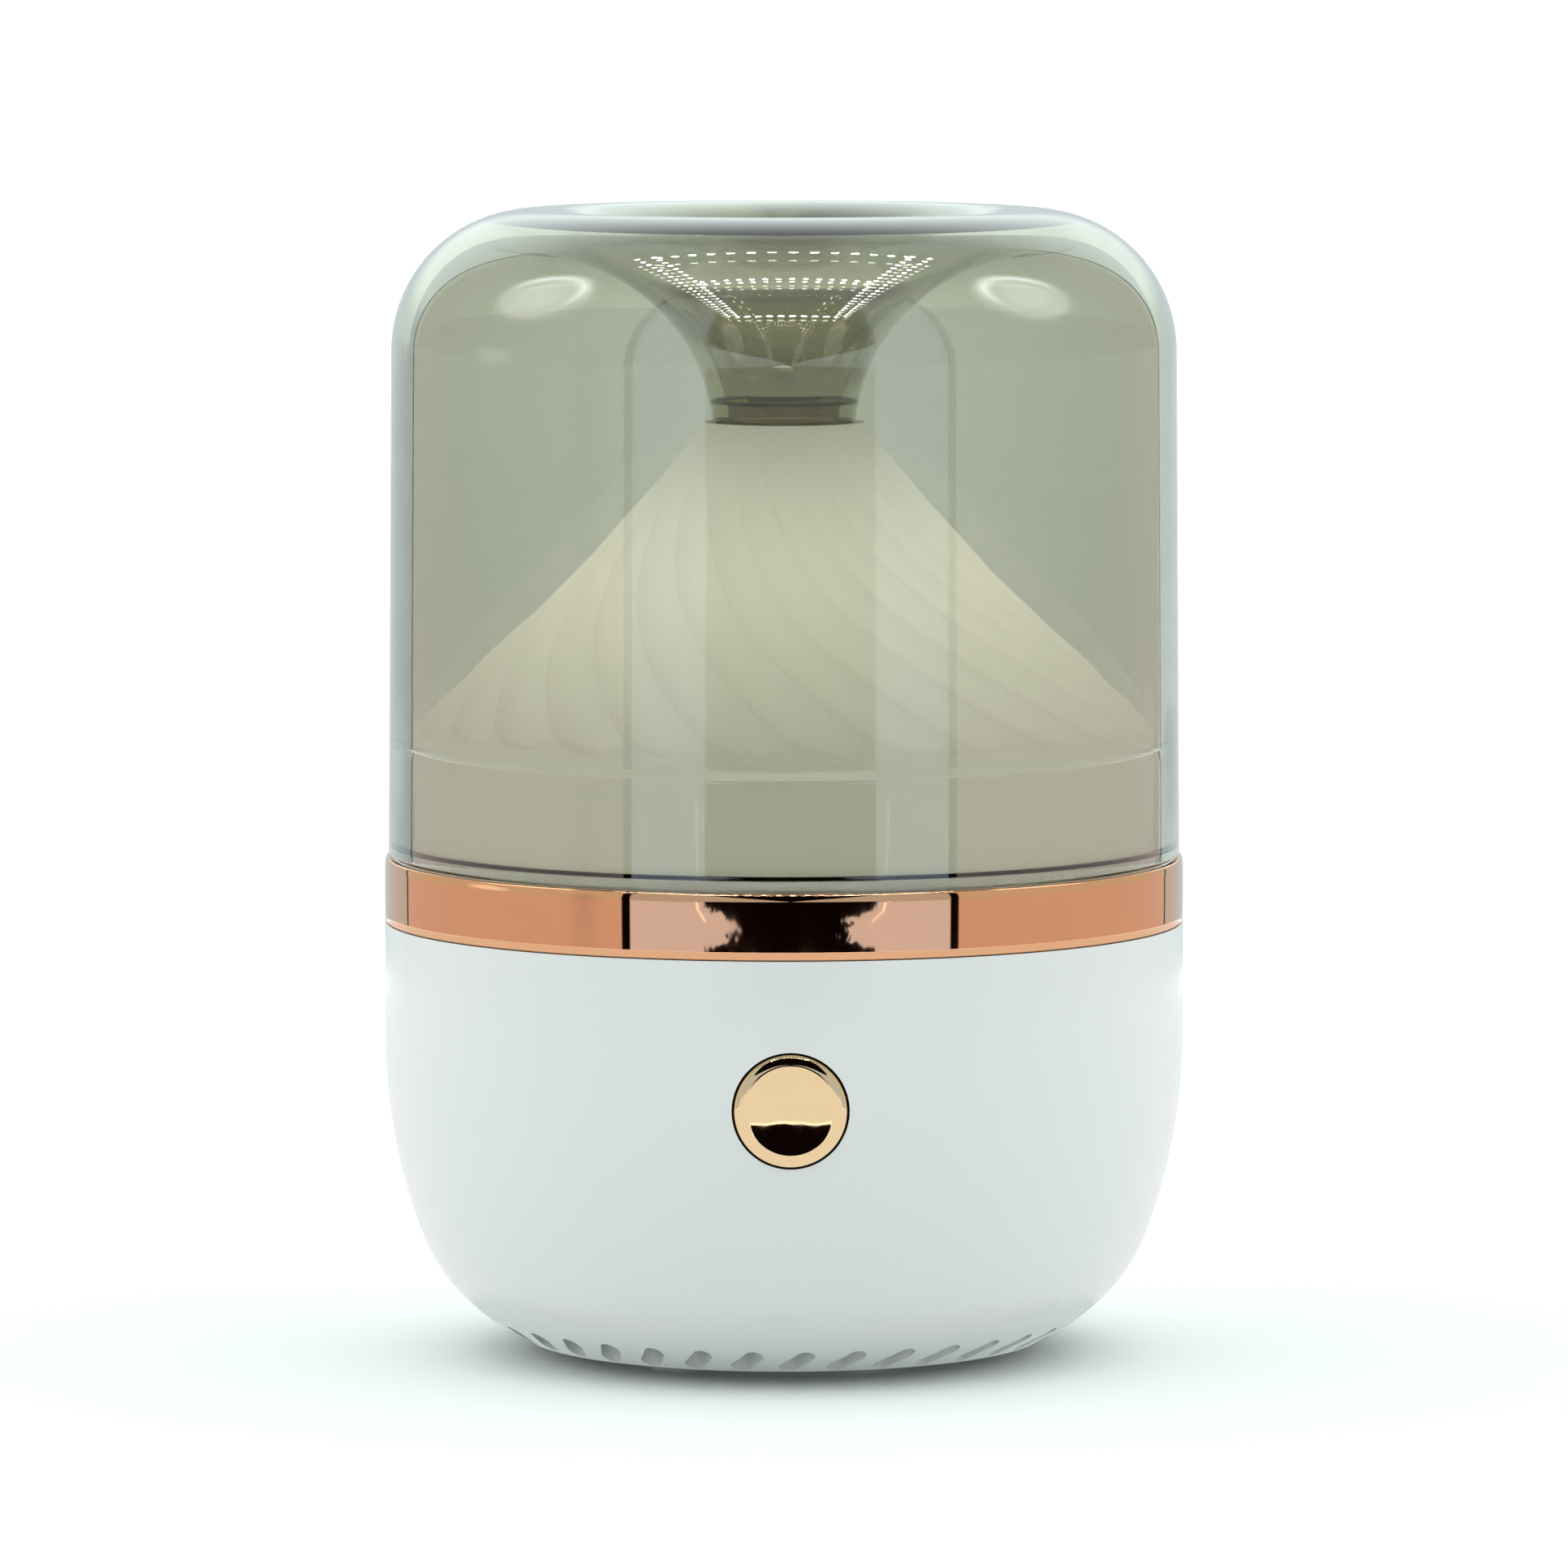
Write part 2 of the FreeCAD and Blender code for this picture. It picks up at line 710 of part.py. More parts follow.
def mist_guide():
    """Cone with spiral flutes on a short skirt, open at the top; a tenon drops into the tank's mouth."""
    wide, high = D["guide_radius"].value, D["guide_shoulder"].value
    inside = wide - D["guide_wall"].value
    foot, top = D["guide_foot"].value, D["guide_top"].value
    tenon, tenon_inner, bottom = D["tenon_radius"].value, D["tenon_inner"].value, D["tenon_bottom"].value
    section = Part.makePolygon([V(radius, 0, height) for radius, height in (
        (wide, high), (wide, foot), (tenon, foot), (tenon, bottom), (tenon_inner, bottom),
        (tenon_inner, foot + 3), (inside, foot + 4.5), (inside, high - 1.2), (inside - 27.8, high + 25.9),
        (inside - 36.1, high + 36.0), (inside - 36.1, top))])
    section.rotate(V(0, 0, 0), V(0, 0, 1), math.degrees(skin_turn(wide)) - 90)
    rest = section.revolve(V(0, 0, 0), V(0, 0, 1), 360)
    skin = fluted_skin()
    edges = skin.Edges + rest.Edges
    rims = [Part.Wire(edge) for edge in edges if edge.BoundBox.ZMin > top - 1e-3]
    shell = Part.Shell([skin] + rest.Faces + [Part.makeFace(rims, "Part::FaceMakerBullseye")])
    shell.sewShape(1e-3)
    solid = Part.Solid(Part.Shell(shell.Faces))
    if solid.Volume < 0:
        solid.reverse()
    item = doc.addObject("Part::Feature", "mist_guide")
    item.Shape = solid
    node("mist_guide", item)


# ---------------------------------------------------------------- water tank and duct


def water_tank():
    """Basin with a flared mouth, a flange on the shell's ledge, the disc's seat and the air duct."""
    body = new_body("water_tank")
    wall = D["tank_wall"]
    under = D["tank_floor"] - D["tank_floor_thickness"]
    inside = D["tank_radius"] - wall
    flare = D["tank_mouth"] - inside
    round_floor = D["tank_floor_round"]
    revolve(body, [
        (D["tank_radius"], under),
        (D["tank_radius"], D["ledge_top"] - D["tank_flare"]),
        (D["tank_radius"] + D["tank_flare"], D["ledge_top"]),
        (D["tank_flange_radius"], D["ledge_top"]),
        (D["tank_flange_radius"], D["base_top"]),
        (D["tank_rim_radius"], D["base_top"]),
        (D["tank_rim_radius"], D["tank_rim_top"]),
        (D["tank_mouth"], D["tank_rim_top"]),
        (D["tank_mouth"], D["base_top"] + D["rim_ledge"]),
        (inside, D["base_top"] + D["rim_ledge"] - flare),
        (inside, D["tank_floor"] + round_floor, round_floor, False),
        (inside - round_floor, D["tank_floor"]),
        (D["well_radius"] + D["well_bevel"], D["tank_floor"]),
        (D["well_radius"], D["tank_floor"] - D["well_bevel"]),
        (D["well_radius"], D["seat_top"]),
        (D["seat_radius"], D["seat_top"]),
        (D["seat_radius"], D["boss_bottom"]),
        (D["boss_radius"], D["boss_bottom"]),
        (D["boss_radius"], under),
    ], "basin")
    duct = new_sketch(body, "duct_profile", "XY_Plane", D["duct_bottom"])
    ring_outline(duct, 0, D["duct_y"], D["duct_radius"])
    extrude(body, "Pad", duct, D["duct_top"] - D["duct_bottom"], "duct")
    bore = new_sketch(body, "duct_bore_profile", "XY_Plane", D["duct_bottom"])
    ring_outline(bore, 0, D["duct_y"], D["duct_bore"])
    extrude(body, "Pocket", bore, D["duct_top"] - D["duct_bottom"], "duct_bore", backwards=True)

    # screw holes for the retainer, and two short bosses with holes for the light board
    seat_holes = new_sketch(body, "retainer_hole_profile", "XY_Plane", D["boss_bottom"])
    ring_outline(seat_holes, *around(D["retainer_pitch"], 0), D["small_screw_radius"] + D["pilot_gap"])
    seat_hole = extrude(body, "Pocket", seat_holes, 3.0, "retainer_hole", backwards=True)
    repeat(body, seat_hole, 3, "retainer_holes")
    for side, name in ((-1, "light_boss_left"), (1, "light_boss_right")):
        boss = new_sketch(body, name + "_profile", "XY_Plane", D["light_bottom"] + D["light_thickness"])
        ring_outline(boss, D["light_pitch"] * side, 0, 2.2)
        extrude(body, "Pad", boss, under - D["light_bottom"] - D["light_thickness"], name)
        hole = new_sketch(body, name + "_hole_profile", "XY_Plane", D["light_bottom"] + D["light_thickness"])
        ring_outline(hole, D["light_pitch"] * side, 0, D["small_screw_radius"] + D["pilot_gap"])
        extrude(body, "Pocket", hole, 2.0, name + "_hole", backwards=True)
    node("water_tank", body)


def duct_cap():
    """Hood on the duct with one window that sends the air towards the middle of the tank."""
    hood = cylinder("hood_outside", D["duct_radius"] + 1.2, 10.5, 0, D["duct_y"], D["duct_top"] - 4)
    hollow = cylinder("hood_inside", D["duct_radius"] + 0.1, 9.5, 0, D["duct_y"], D["duct_top"] - 4)
    shelf = tube("hood_shelf", D["duct_radius"] + 0.2, D["duct_bore"], D["duct_top"], D["duct_top"] + 0.6,
                 0, D["duct_y"])
    window = block("hood_window", (-4.2, D["duct_y"] - 9, D["duct_top"] + 0.9),
                   (4.2, D["duct_y"], D["duct_top"] + 4.9))
    walls = join("hood_walls", [cut("hood_shell", hood, hollow), shelf])
    node("duct_cap", cut("duct_cap", walls, window))


def tank_gasket():
    ring = tube("tank_gasket", D["ring_inner"] - 0.1, D["flange_inner"], D["base_top"], D["flange_bottom"])
    node("tank_gasket", ring)


# ---------------------------------------------------------------- ultrasonic disc and its seat


def mist_maker():
    disc_top = D["disc_bottom"] + D["disc_thickness"]
    gap = 0.05
    disc = cylinder("transducer_disc", D["disc_radius"], D["disc_thickness"], z=D["disc_bottom"])
    node("transducer_disc", disc)
    ring = tube("gasket_ring", D["seat_radius"] - 0.1, D["well_radius"] - 0.2, D["boss_bottom"],
                D["seat_top"])
    groove = cylinder("gasket_groove", D["disc_radius"] + gap, D["disc_thickness"] + 2 * gap,
                      z=D["disc_bottom"] - gap)
    node("transducer_gasket", cut("transducer_gasket", ring, groove))

    contact = tube("contact_ring", D["well_radius"] - 0.6, D["well_radius"] - 2.6, disc_top + 0.02,
                   disc_top + 0.12)
    node("transducer_electrode", contact)

    low = D["boss_bottom"] - D["retainer_thickness"]
    plate = tube("retainer_plate", D["boss_radius"], D["retainer_hole"], low, D["boss_bottom"])
    holes = []
    screws = []
    for index in range(3):
        x, y = around(D["retainer_pitch"], 120 * index)
        holes.append(cylinder(f"retainer_clearance_{index}", 1.1, 4, x, y, low - 1))
        screws.append(screw(f"retainer_screw_{index}", x, y, low - 1.1, low, 1.7, D["seat_top"] - 0.2, 0.9))
    node("transducer_retainer", cut("transducer_retainer", plate, join("retainer_clearances", holes)))
    node("retainer_screws", gather("retainer_screws", screws))


def light_board():
    """Ring board under the tank with a gap at the back for the duct, and six lights on its upper face."""
    top = D["light_bottom"] + D["light_thickness"]
    ring = tube("light_ring", D["light_outer"], D["light_inner"], D["light_bottom"], top)
    gap = block("light_gap", (-8.5, 10, D["light_bottom"] - 1), (8.5, 30, top + 1))
    removed = [gap]
    screws = []
    for side in (-1, 1):
        x = D["light_pitch"] * side
        removed.append(cylinder(f"light_clearance_{side + 1}", 1.1, 4, x, 0, D["light_bottom"] - 1))
        screws.append(screw(f"light_screw_{side + 1}", x, 0, D["light_bottom"] - 1.1, D["light_bottom"], 1.7,
                            D["tank_floor"] - D["tank_floor_thickness"] + 0.5, 0.9))
    node("light_board", cut("light_board", ring, join("light_removed", removed)))
    node("light_board_screws", gather("light_board_screws", screws))
    lights = []
    for index, angle in enumerate((-135, -60, -25, 25, 60, 135)):
        x, y = around(D["light_pitch"], angle)
        case = block(f"light_case_{index}", (x - 1.75, y - 1.4, top), (x + 1.75, y + 1.4, top + 0.9))
        lens = cylinder(f"light_lens_{index}", 1.1, 0.2, x, y, top + 0.8)
        lights.append(join(f"light_{index}", [case, lens]))
    node("lights", gather("lights", lights))


# ---------------------------------------------------------------- fan


def fan():
    half, low = D["fan_half"], D["fan_bottom"]
    top = low + D["fan_height"]
    frame = block("fan_block", (-half, -half, low), (half, half, top))
    removed = [cylinder("fan_throat", D["fan_bore"], D["fan_height"] + 2, z=low - 1)]
    screws = []
    for index in range(4):
        x = D["fan_pitch"] * (1 if index in (0, 1) else -1)
        y = D["fan_pitch"] * (1 if index in (1, 2) else -1)
        removed.append(cylinder(f"fan_hole_{index}", 1.25, D["fan_height"] + 2, x, y, low - 1))
        screws.append(screw(f"fan_screw_{index}", x, y, top, top + 1.2, 2.0, low - 2.6, 1.0))
    square = cut("fan_square", frame, join("fan_removed", removed))
    spokes = []
    for index in range(3):
        spoke = block(f"fan_spoke_{index}", (-1, 6, low), (1, D["fan_bore"] + 0.5, low + 1))
        spoke.Placement = FreeCAD.Placement(V(0, 0, 0), FreeCAD.Rotation(V(0, 0, 1), 120 * index))
        turn = math.radians(120 * index)
        place(spoke, -math.cos(turn) - 6 * math.sin(turn), -math.sin(turn) + 6 * math.cos(turn), low)
        spokes.append(spoke)
    plate = cylinder("fan_hub_plate", D["hub_radius"], 1.0, z=low)
    seat = cylinder("fan_bearing_seat", 1.6, 3, z=low - 1)
    node("fan_frame", cut("fan_frame", join("fan_blank", [square, plate] + spokes), seat))
    node("fan_screws", gather("fan_screws", screws))

    bore = D["shaft_radius"] + D["running_gap"]
    node("fan_bearing", tube("fan_bearing", 1.55, bore, low, low + 4.6))
    node("fan_stator", tube("fan_stator", 5.6, 1.6, low + 1, low + 4.8))

    # the rotor: a cup over the stator with a ring of leaning blades
    cup = cylinder("rotor_cup", D["hub_radius"], 6.0, z=low + 1.5)
    cup_hollow = cylinder("rotor_hollow", 6.3, 4.6, z=low + 1.4)
    rotor_hole = cylinder("rotor_hole", D["shaft_radius"], 3, z=low + 5.5)
    hub = cut("rotor_hub", cup, join("rotor_removed", [cup_hollow, rotor_hole]))
    blades = doc.addObject("Part::Feature", "rotor_blades")
    blades.Shape = Part.makeCompound([rotor_blade(index) for index in range(int(D["blade_count"].value))])
    node("fan_impeller", join("fan_impeller", [hub, blades]))
    node("fan_shaft", cylinder("fan_shaft", D["shaft_radius"], 7.0, z=low + 0.5))


def rotor_blade(index):
    """A flat blade tilted about its own radial axis and trimmed to the ring between hub and blade tip."""
    low = D["fan_bottom"].value
    middle = low + 4.5
    plank = Part.makeBox(9, 7.0, 0.9, V(6.4, -3.5, -0.45))
    plank.rotate(V(0, 0, 0), V(1, 0, 0), 38)
    plank.translate(V(0, 0, middle))
    ring = Part.makeCylinder(D["blade_radius"].value, 5.4, V(0, 0, middle - 2.7))
    ring = ring.cut(Part.makeCylinder(D["hub_radius"].value - 0.4, 6, V(0, 0, middle - 3)))
    blade = plank.common(ring)
    blade.rotate(V(0, 0, 0), V(0, 0, 1), 360 * index / D["blade_count"].value)
    return blade


# ---------------------------------------------------------------- main board, power socket, leads


def main_board():
    low = D["board_bottom"]
    top = low + D["board_thickness"]
    disc = cylinder("board_disc", D["board_radius"], D["board_thickness"], z=low)
    tongue = block("board_tongue", (-8, 30, low), (8, 42, top))
    removed = [cylinder("board_airway", D["board_hole"], 4, z=low - 1)]
    screws = []
    for index in range(3):
        x, y = around(D["board_post_pitch"], D["screw_angle"] + 120 * index)
        removed.append(cylinder(f"board_clearance_{index}", 1.3, 4, x, y, low - 1))
        screws.append(screw(f"board_screw_{index}", x, y, top, top + 1.2, 2.0, low - 7, 1.1))
    blank = join("board_blank", [disc, tongue])
    node("main_board", cut("main_board", blank, join("board_removed", removed)))
    node("main_board_screws", gather("main_board_screws", screws))

    coil = tube("coil_winding", 3.6, 1.6, top + 0.8, top + 4.0, 22, 14)
    core = cylinder("coil_core", 1.5, 4.8, 22, 14, top)
    feet = cylinder("coil_foot", 4.2, 0.8, 22, 14, top)
    node("driver_coil", join("driver_coil", [coil, core, feet]))
    cans = [
        cylinder("capacitor_large", 3.0, 4.4, -24, 14, top),
        cylinder("capacitor_small", 2.2, 4.0, -17, 20, top),
    ]
    node("capacitors", gather("capacitors", cans))
    node("driver_chip", block("driver_chip", (12.5, -24, top), (17.5, -18, top + 1.5)))
    node("driver_transistor", block("driver_transistor", (-18, -24, top), (-11.5, -18, top + 2.3)))
    sockets = [
        block("button_socket", (-3, -32, top), (3, -28, top + 4)),
        block("disc_socket", (-21, -3, top), (-17, 3, top + 4)),
        block("light_socket", (17.5, -6, top), (21.5, 0, top + 4)),
        block("fan_socket", (17.5, 3, low - 4), (22.5, 7, low)),
    ]
    node("lead_sockets", gather("lead_sockets", sockets))


def power_socket():
    """Round power socket on the main board's tongue, its collar in the hole at the back of the shell."""
    low = D["board_bottom"] + D["board_thickness"]
    case = block("jack_case", (-4.7, 32.6, low), (4.7, 43.6, D["jack_height"] + 4.9))
    collar = cylinder("jack_collar", D["jack_collar"], 3.8, 0, 43.2, D["jack_height"], "+Y")
    bore = cylinder("jack_bore", D["jack_bore"], 10.0, 0, 38.0, D["jack_height"], "+Y")
    node("power_socket", cut("power_socket", join("jack_blank", [case, collar]), bore))
    pin = cylinder("power_socket_pin", D["jack_pin"], 8.0, 0, 38.0, D["jack_height"], "+Y")
    node("power_socket_pin", pin)


def rounded_path(points, bend):
    """Straight runs joined by tangent arcs of one radius."""
    edges = []
    start = points[0]
    for before, corner, after in zip(points, points[1:], points[2:]):
        arriving = (corner - before).normalize()
        leaving = (after - corner).normalize()
        turn = arriving.getAngle(leaving)
        setback = bend * math.tan(turn / 2)
        arc_start = corner - arriving * setback
        arc_end = corner + leaving * setback
        middle_way = (leaving - arriving).normalize()
        centre = corner + middle_way * (bend / math.cos(turn / 2))
        edges.append(Part.LineSegment(start, arc_start).toShape())
        edges.append(Part.Arc(arc_start, centre - middle_way * bend, arc_end).toShape())
        start = arc_end
    edges.append(Part.LineSegment(start, points[-1]).toShape())
    return Part.Wire(edges)


def lead(label, route, bend):
    """A short sleeved lead along its route."""
    points = [V(*[size_of(number).value for number in point]) for point in route]
    path = rounded_path(points, bend)
    radius = D["lead_radius"].value
    ring = Part.Wire(Part.Circle(points[0], points[1] - points[0], radius).toShape())
    item = doc.addObject("Part::Feature", label)
    item.Shape = path.makePipeShell([ring], True, False)
    expected = math.pi * radius ** 2 * path.Length
    if abs(item.Shape.Volume - expected) > 0.02 * expected:
        raise RuntimeError(f"{label} is {item.Shape.Volume}, not {expected}")
    print(label, "length", round(path.Length, 1), "bend radius", bend)
    node(label, item)


def leads():
    board_top = D["board_bottom"] + D["board_thickness"]
    lead("disc_lead", [(-17, 0, board_top + 2), (-3, 0, board_top + 2), (-3, 0, D["disc_bottom"])], 2.6)
    lead("light_lead", [(19.5, -6, board_top + 2), (19.5, -9.5, board_top + 2),
                        (19.5, -9.5, D["light_bottom"])], 1.6)
    lead("fan_lead", [(D["fan_half"], 5, 9), (20, 5, 9), (20, 5, D["board_bottom"] - 4)], 1.8)
    lead("button_lead", [(0, -39.7, 29.0), (0, -39.7, board_top + 2), (0, -32, board_top + 2)], 3.2)


# ---------------------------------------------------------------- button and switch


def button():
    """Cap with a rounded edge and a shallow dish, a flange behind the shell wall and a stub on the switch."""
    front = D["button_front"]
    body = new_body("button_cap")
    revolve(body, [
        (0, D["plunger_tip"] + 0.3),
        (D["button_stub"], D["plunger_tip"] + 0.3),
        (D["button_stub"], D["button_flange_back"]),
        (D["button_flange"], D["button_flange_back"]),
        (D["button_flange"], D["button_flange_front"]),
        (D["button_radius"], D["button_flange_front"]),
        (D["button_radius"], front - D["button_round_drop"], D["button_round"], True),
        (D["button_round_start"], front),
        (D["dish_radius"], front, D["dish_arc"], False),
        (0, front - D["dish_depth"]),
    ], "cap")
    body.Placement = FreeCAD.Placement(V(0, 0, D["button_height"].value), FreeCAD.Rotation(V(1, 0, 0), 90))
    body.setExpression("Placement.Base.z", D["button_height"].text)
    node("button_cap", body)


def switch():
    height = D["button_height"]
    case = block("switch_case", (-3, -D["switch_front"], height - 3), (3, -D["switch_back"], height + 3))
    well = cylinder("switch_well", D["plunger_radius"] + D["running_gap"], 2.2, 0, -D["switch_front"] + 2.0,
                    height, "-Y")
    node("switch_body", cut("switch_body", case, well))
    tip, plunger_back = D["plunger_tip"], 42.0
    node("switch_plunger", cylinder("switch_plunger", D["plunger_radius"], tip - plunger_back,
                                    0, -plunger_back, height, "-Y"))
    front = -D["switch_back"]
    board_half, board_top = 10.3, 43.4
    node("button_board", block("button_board", (-board_half, front, D["rail_bottom"]),
                               (board_half, front + D["button_board_thickness"], board_top)))


# ---------------------------------------------------------------- bottom cover, feet, screws


def bottom_cover():
    body = new_body("bottom_cover")
    low = D["edge_height"]
    disc = new_sketch(body, "disc_profile", "XY_Plane", low)
    ring_outline(disc, 0, 0, D["lid_radius"])
    extrude(body, "Pad", disc, D["lid_thickness"], "disc")
    foot_boss = new_sketch(body, "foot_boss_profile", "XY_Plane", low)
    ring_outline(foot_boss, *around(D["foot_pitch"], D["foot_angle"]), D["foot_boss"])
    boss = extrude(body, "Pad", foot_boss, 0.6, "foot_boss", backwards=True)
    repeat(body, boss, 3, "foot_bosses")
    foot_seat = new_sketch(body, "foot_seat_profile", "XY_Plane", low - 0.6)
    ring_outline(foot_seat, *around(D["foot_pitch"], D["foot_angle"]), D["foot_radius"] + 0.1)
    seat = extrude(body, "Pocket", foot_seat, 0.8, "foot_seat", backwards=True)
    repeat(body, seat, 3, "foot_seats")

    # intake grille under the fan
    grille = new_sketch(body, "grille_profile", "XY_Plane", low)
    slot_outline(grille, (0, 6), (0, 12), size_of(0.9))
    slot = extrude(body, "Pocket", grille, D["lid_thickness"], "grille_slot", backwards=True)
    repeat(body, slot, 14, "grille")

    # fan standoffs on the inside, drilled for their screws
    for index in range(4):
        x = D["fan_pitch"] * (1 if index in (0, 1) else -1)
        y = D["fan_pitch"] * (1 if index in (1, 2) else -1)
        standoff = new_sketch(body, f"standoff_{index}_profile", "XY_Plane", low + D["lid_thickness"])
        ring_outline(standoff, x, y, 2.2)
        extrude(body, "Pad", standoff, D["fan_bottom"] - low - D["lid_thickness"], f"standoff_{index}")
        hole = new_sketch(body, f"standoff_{index}_hole_profile", "XY_Plane", D["fan_bottom"])
        ring_outline(hole, x, y, 1.0 + D["pilot_gap"])
        extrude(body, "Pocket", hole, 2.8, f"standoff_{index}_hole")

    # countersunk holes for the cover's own screws
    for name, radius, depth in (
            ("screw_hole", 1.25, D["lid_thickness"]),
            ("screw_recess", 2.3, size_of(1.4))):
        hole = new_sketch(body, name + "_profile", "XY_Plane", low)
        ring_outline(hole, *around(D["lid_screw_pitch"], D["screw_angle"]), radius)
        pocket = extrude(body, "Pocket", hole, depth, name, backwards=True)
        repeat(body, pocket, 3, name + "s")
    node("bottom_cover", body)

    screws = []
    feet = []
    for index in range(3):
        x, y = around(D["lid_screw_pitch"], D["screw_angle"] + 120 * index)
        screws.append(screw(f"cover_screw_{index}", x, y, low + 0.2, low + 1.4, 2.0, low + 9.6, 1.1))
        x, y = around(D["foot_pitch"], D["foot_angle"] + 120 * index)
        pad = cylinder(f"foot_pad_{index}", D["foot_radius"], low + 0.2, x, y, 0)
        rounded = doc.addObject("Part::Chamfer", f"foot_{index}")
        rounded.Base = pad
        rounded.Edges = [(3, 0.25, 0.25)]
        feet.append(rounded)
    node("cover_screws", gather("cover_screws", screws))
    node("rubber_feet", gather("rubber_feet", feet))


# ---------------------------------------------------------------- build, check and write


def build():
    for make in (base_shell, trim_ring, cover_dome, mist_guide, water_tank, duct_cap, tank_gasket, mist_maker,
                 light_board, fan, main_board, power_socket, leads, button, switch, bottom_cover):
        make()
        doc.recompute()
        print(make.__name__)


def check():
    for item in doc.Objects:
        if "Invalid" in item.State or "Error" in item.State:
            raise RuntimeError(f"{item.Name} failed: {item.State}")
    for name, item in nodes.items():
        if item.Shape.isNull() or not item.Shape.isValid() or not item.Shape.Solids:
            raise RuntimeError(f"{name} has no valid solid")


def write():
    for name, item in nodes.items():
        item.Shape.exportStep(f"parts/{name}.step")
        box = item.Shape.BoundBox
        print(f"{name}: {len(item.Shape.Solids)} solid(s), {item.Shape.Volume:.1f} mm3, "
              f"z {box.ZMin:.2f} to {box.ZMax:.2f}")


build()
check()
write()
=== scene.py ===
"""Essential oil diffuser: smoky clear dome with a trumpet funnel, fluted frosted mist guide, rose-gold ring,
white bowl base with a gold button, and the mist, light, fan and power pieces inside it."""

import math

import bpy
import numpy as np
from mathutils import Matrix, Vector


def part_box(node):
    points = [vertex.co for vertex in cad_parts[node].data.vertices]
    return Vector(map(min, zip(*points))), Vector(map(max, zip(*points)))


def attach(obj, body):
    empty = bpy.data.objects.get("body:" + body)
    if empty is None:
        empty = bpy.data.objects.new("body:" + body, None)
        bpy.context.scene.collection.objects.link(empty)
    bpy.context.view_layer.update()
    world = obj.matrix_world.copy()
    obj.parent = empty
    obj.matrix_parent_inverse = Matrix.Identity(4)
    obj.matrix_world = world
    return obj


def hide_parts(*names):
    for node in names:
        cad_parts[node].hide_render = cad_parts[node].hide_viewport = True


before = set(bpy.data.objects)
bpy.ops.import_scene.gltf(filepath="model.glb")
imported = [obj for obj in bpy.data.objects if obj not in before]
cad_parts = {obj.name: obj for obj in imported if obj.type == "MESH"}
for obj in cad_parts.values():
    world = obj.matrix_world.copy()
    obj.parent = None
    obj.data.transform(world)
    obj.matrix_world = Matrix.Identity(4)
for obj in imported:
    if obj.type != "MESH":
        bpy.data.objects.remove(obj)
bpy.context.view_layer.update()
MM = 0.001
LATHE_SEGMENTS = 288

# ---------------------------------------------------------------- mesh tools


def arc(centre, radius, start, end, count):
    """Points of an arc in a section: angles in degrees from the outward direction, counted towards up."""
    return [(centre[0] + radius * math.cos(math.radians(start + (end - start) * i / count)),
             centre[1] + radius * math.sin(math.radians(start + (end - start) * i / count)))
            for i in range(count + 1)]


def line(start, end, count):
    """Points of a straight run in a section, both ends included."""
    return [(start[0] + (end[0] - start[0]) * i / count, start[1] + (end[1] - start[1]) * i / count)
            for i in range(count + 1)]


def chain(*runs):
    """Joins section runs and drops the points that repeat."""
    points = []
    for run in runs:
        for point in run:
            if not points or math.dist(points[-1], point) > 1e-5:
                points.append(point)
    if math.dist(points[0], points[-1]) < 1e-5:
        points.pop()
    return points


def new_object(name, vertices, faces, sharp=None):
    """Mesh object with smooth shading, where edges sharper than the angle in degrees stay sharp."""
    mesh = bpy.data.meshes.new(name)
    mesh.from_pydata(vertices, [], faces)
    mesh.validate()
    mesh.update()
    item = bpy.data.objects.new(name, mesh)
    bpy.context.scene.collection.objects.link(item)
    mesh.shade_smooth()
    if sharp is not None:
        mesh.set_sharp_from_angle(angle=math.radians(sharp))
    return item


def lathe(name, section, sharp):
    """Solid of revolution about the upright axis, from a closed section of (radius, height) in mm."""
    vertices = []
    for i in range(LATHE_SEGMENTS):
        angle = 2 * math.pi * i / LATHE_SEGMENTS
        for radius, height in section:
            vertices.append((radius * math.sin(angle) * MM, -radius * math.cos(angle) * MM, height * MM))
    return grid_solid(name, vertices, LATHE_SEGMENTS, len(section), sharp)


def grid_solid(name, vertices, columns, rows, sharp):
    """Faces of a ring of closed columns, each with the same number of points."""
    faces = []
    for i in range(columns):
        j = (i + 1) % columns
        for k in range(rows):
            m = (k + 1) % rows
            faces.append((i * rows + k, j * rows + k, j * rows + m, i * rows + m))
    item = new_object(name, vertices, faces, sharp)
    outward(item)
    return item


def outward(item):
    """Turns the faces outwards if the enclosed volume comes out negative."""
    mesh = item.data
    mesh.calc_loop_triangles()
    points = np.array([v.co for v in mesh.vertices])
    corners = points[np.array([t.vertices for t in mesh.loop_triangles])]
    if np.einsum("ij,ij->i", corners[:, 0], np.cross(corners[:, 1], corners[:, 2])).sum() < 0:
        mesh.flip_normals()


# ---------------------------------------------------------------- material tools


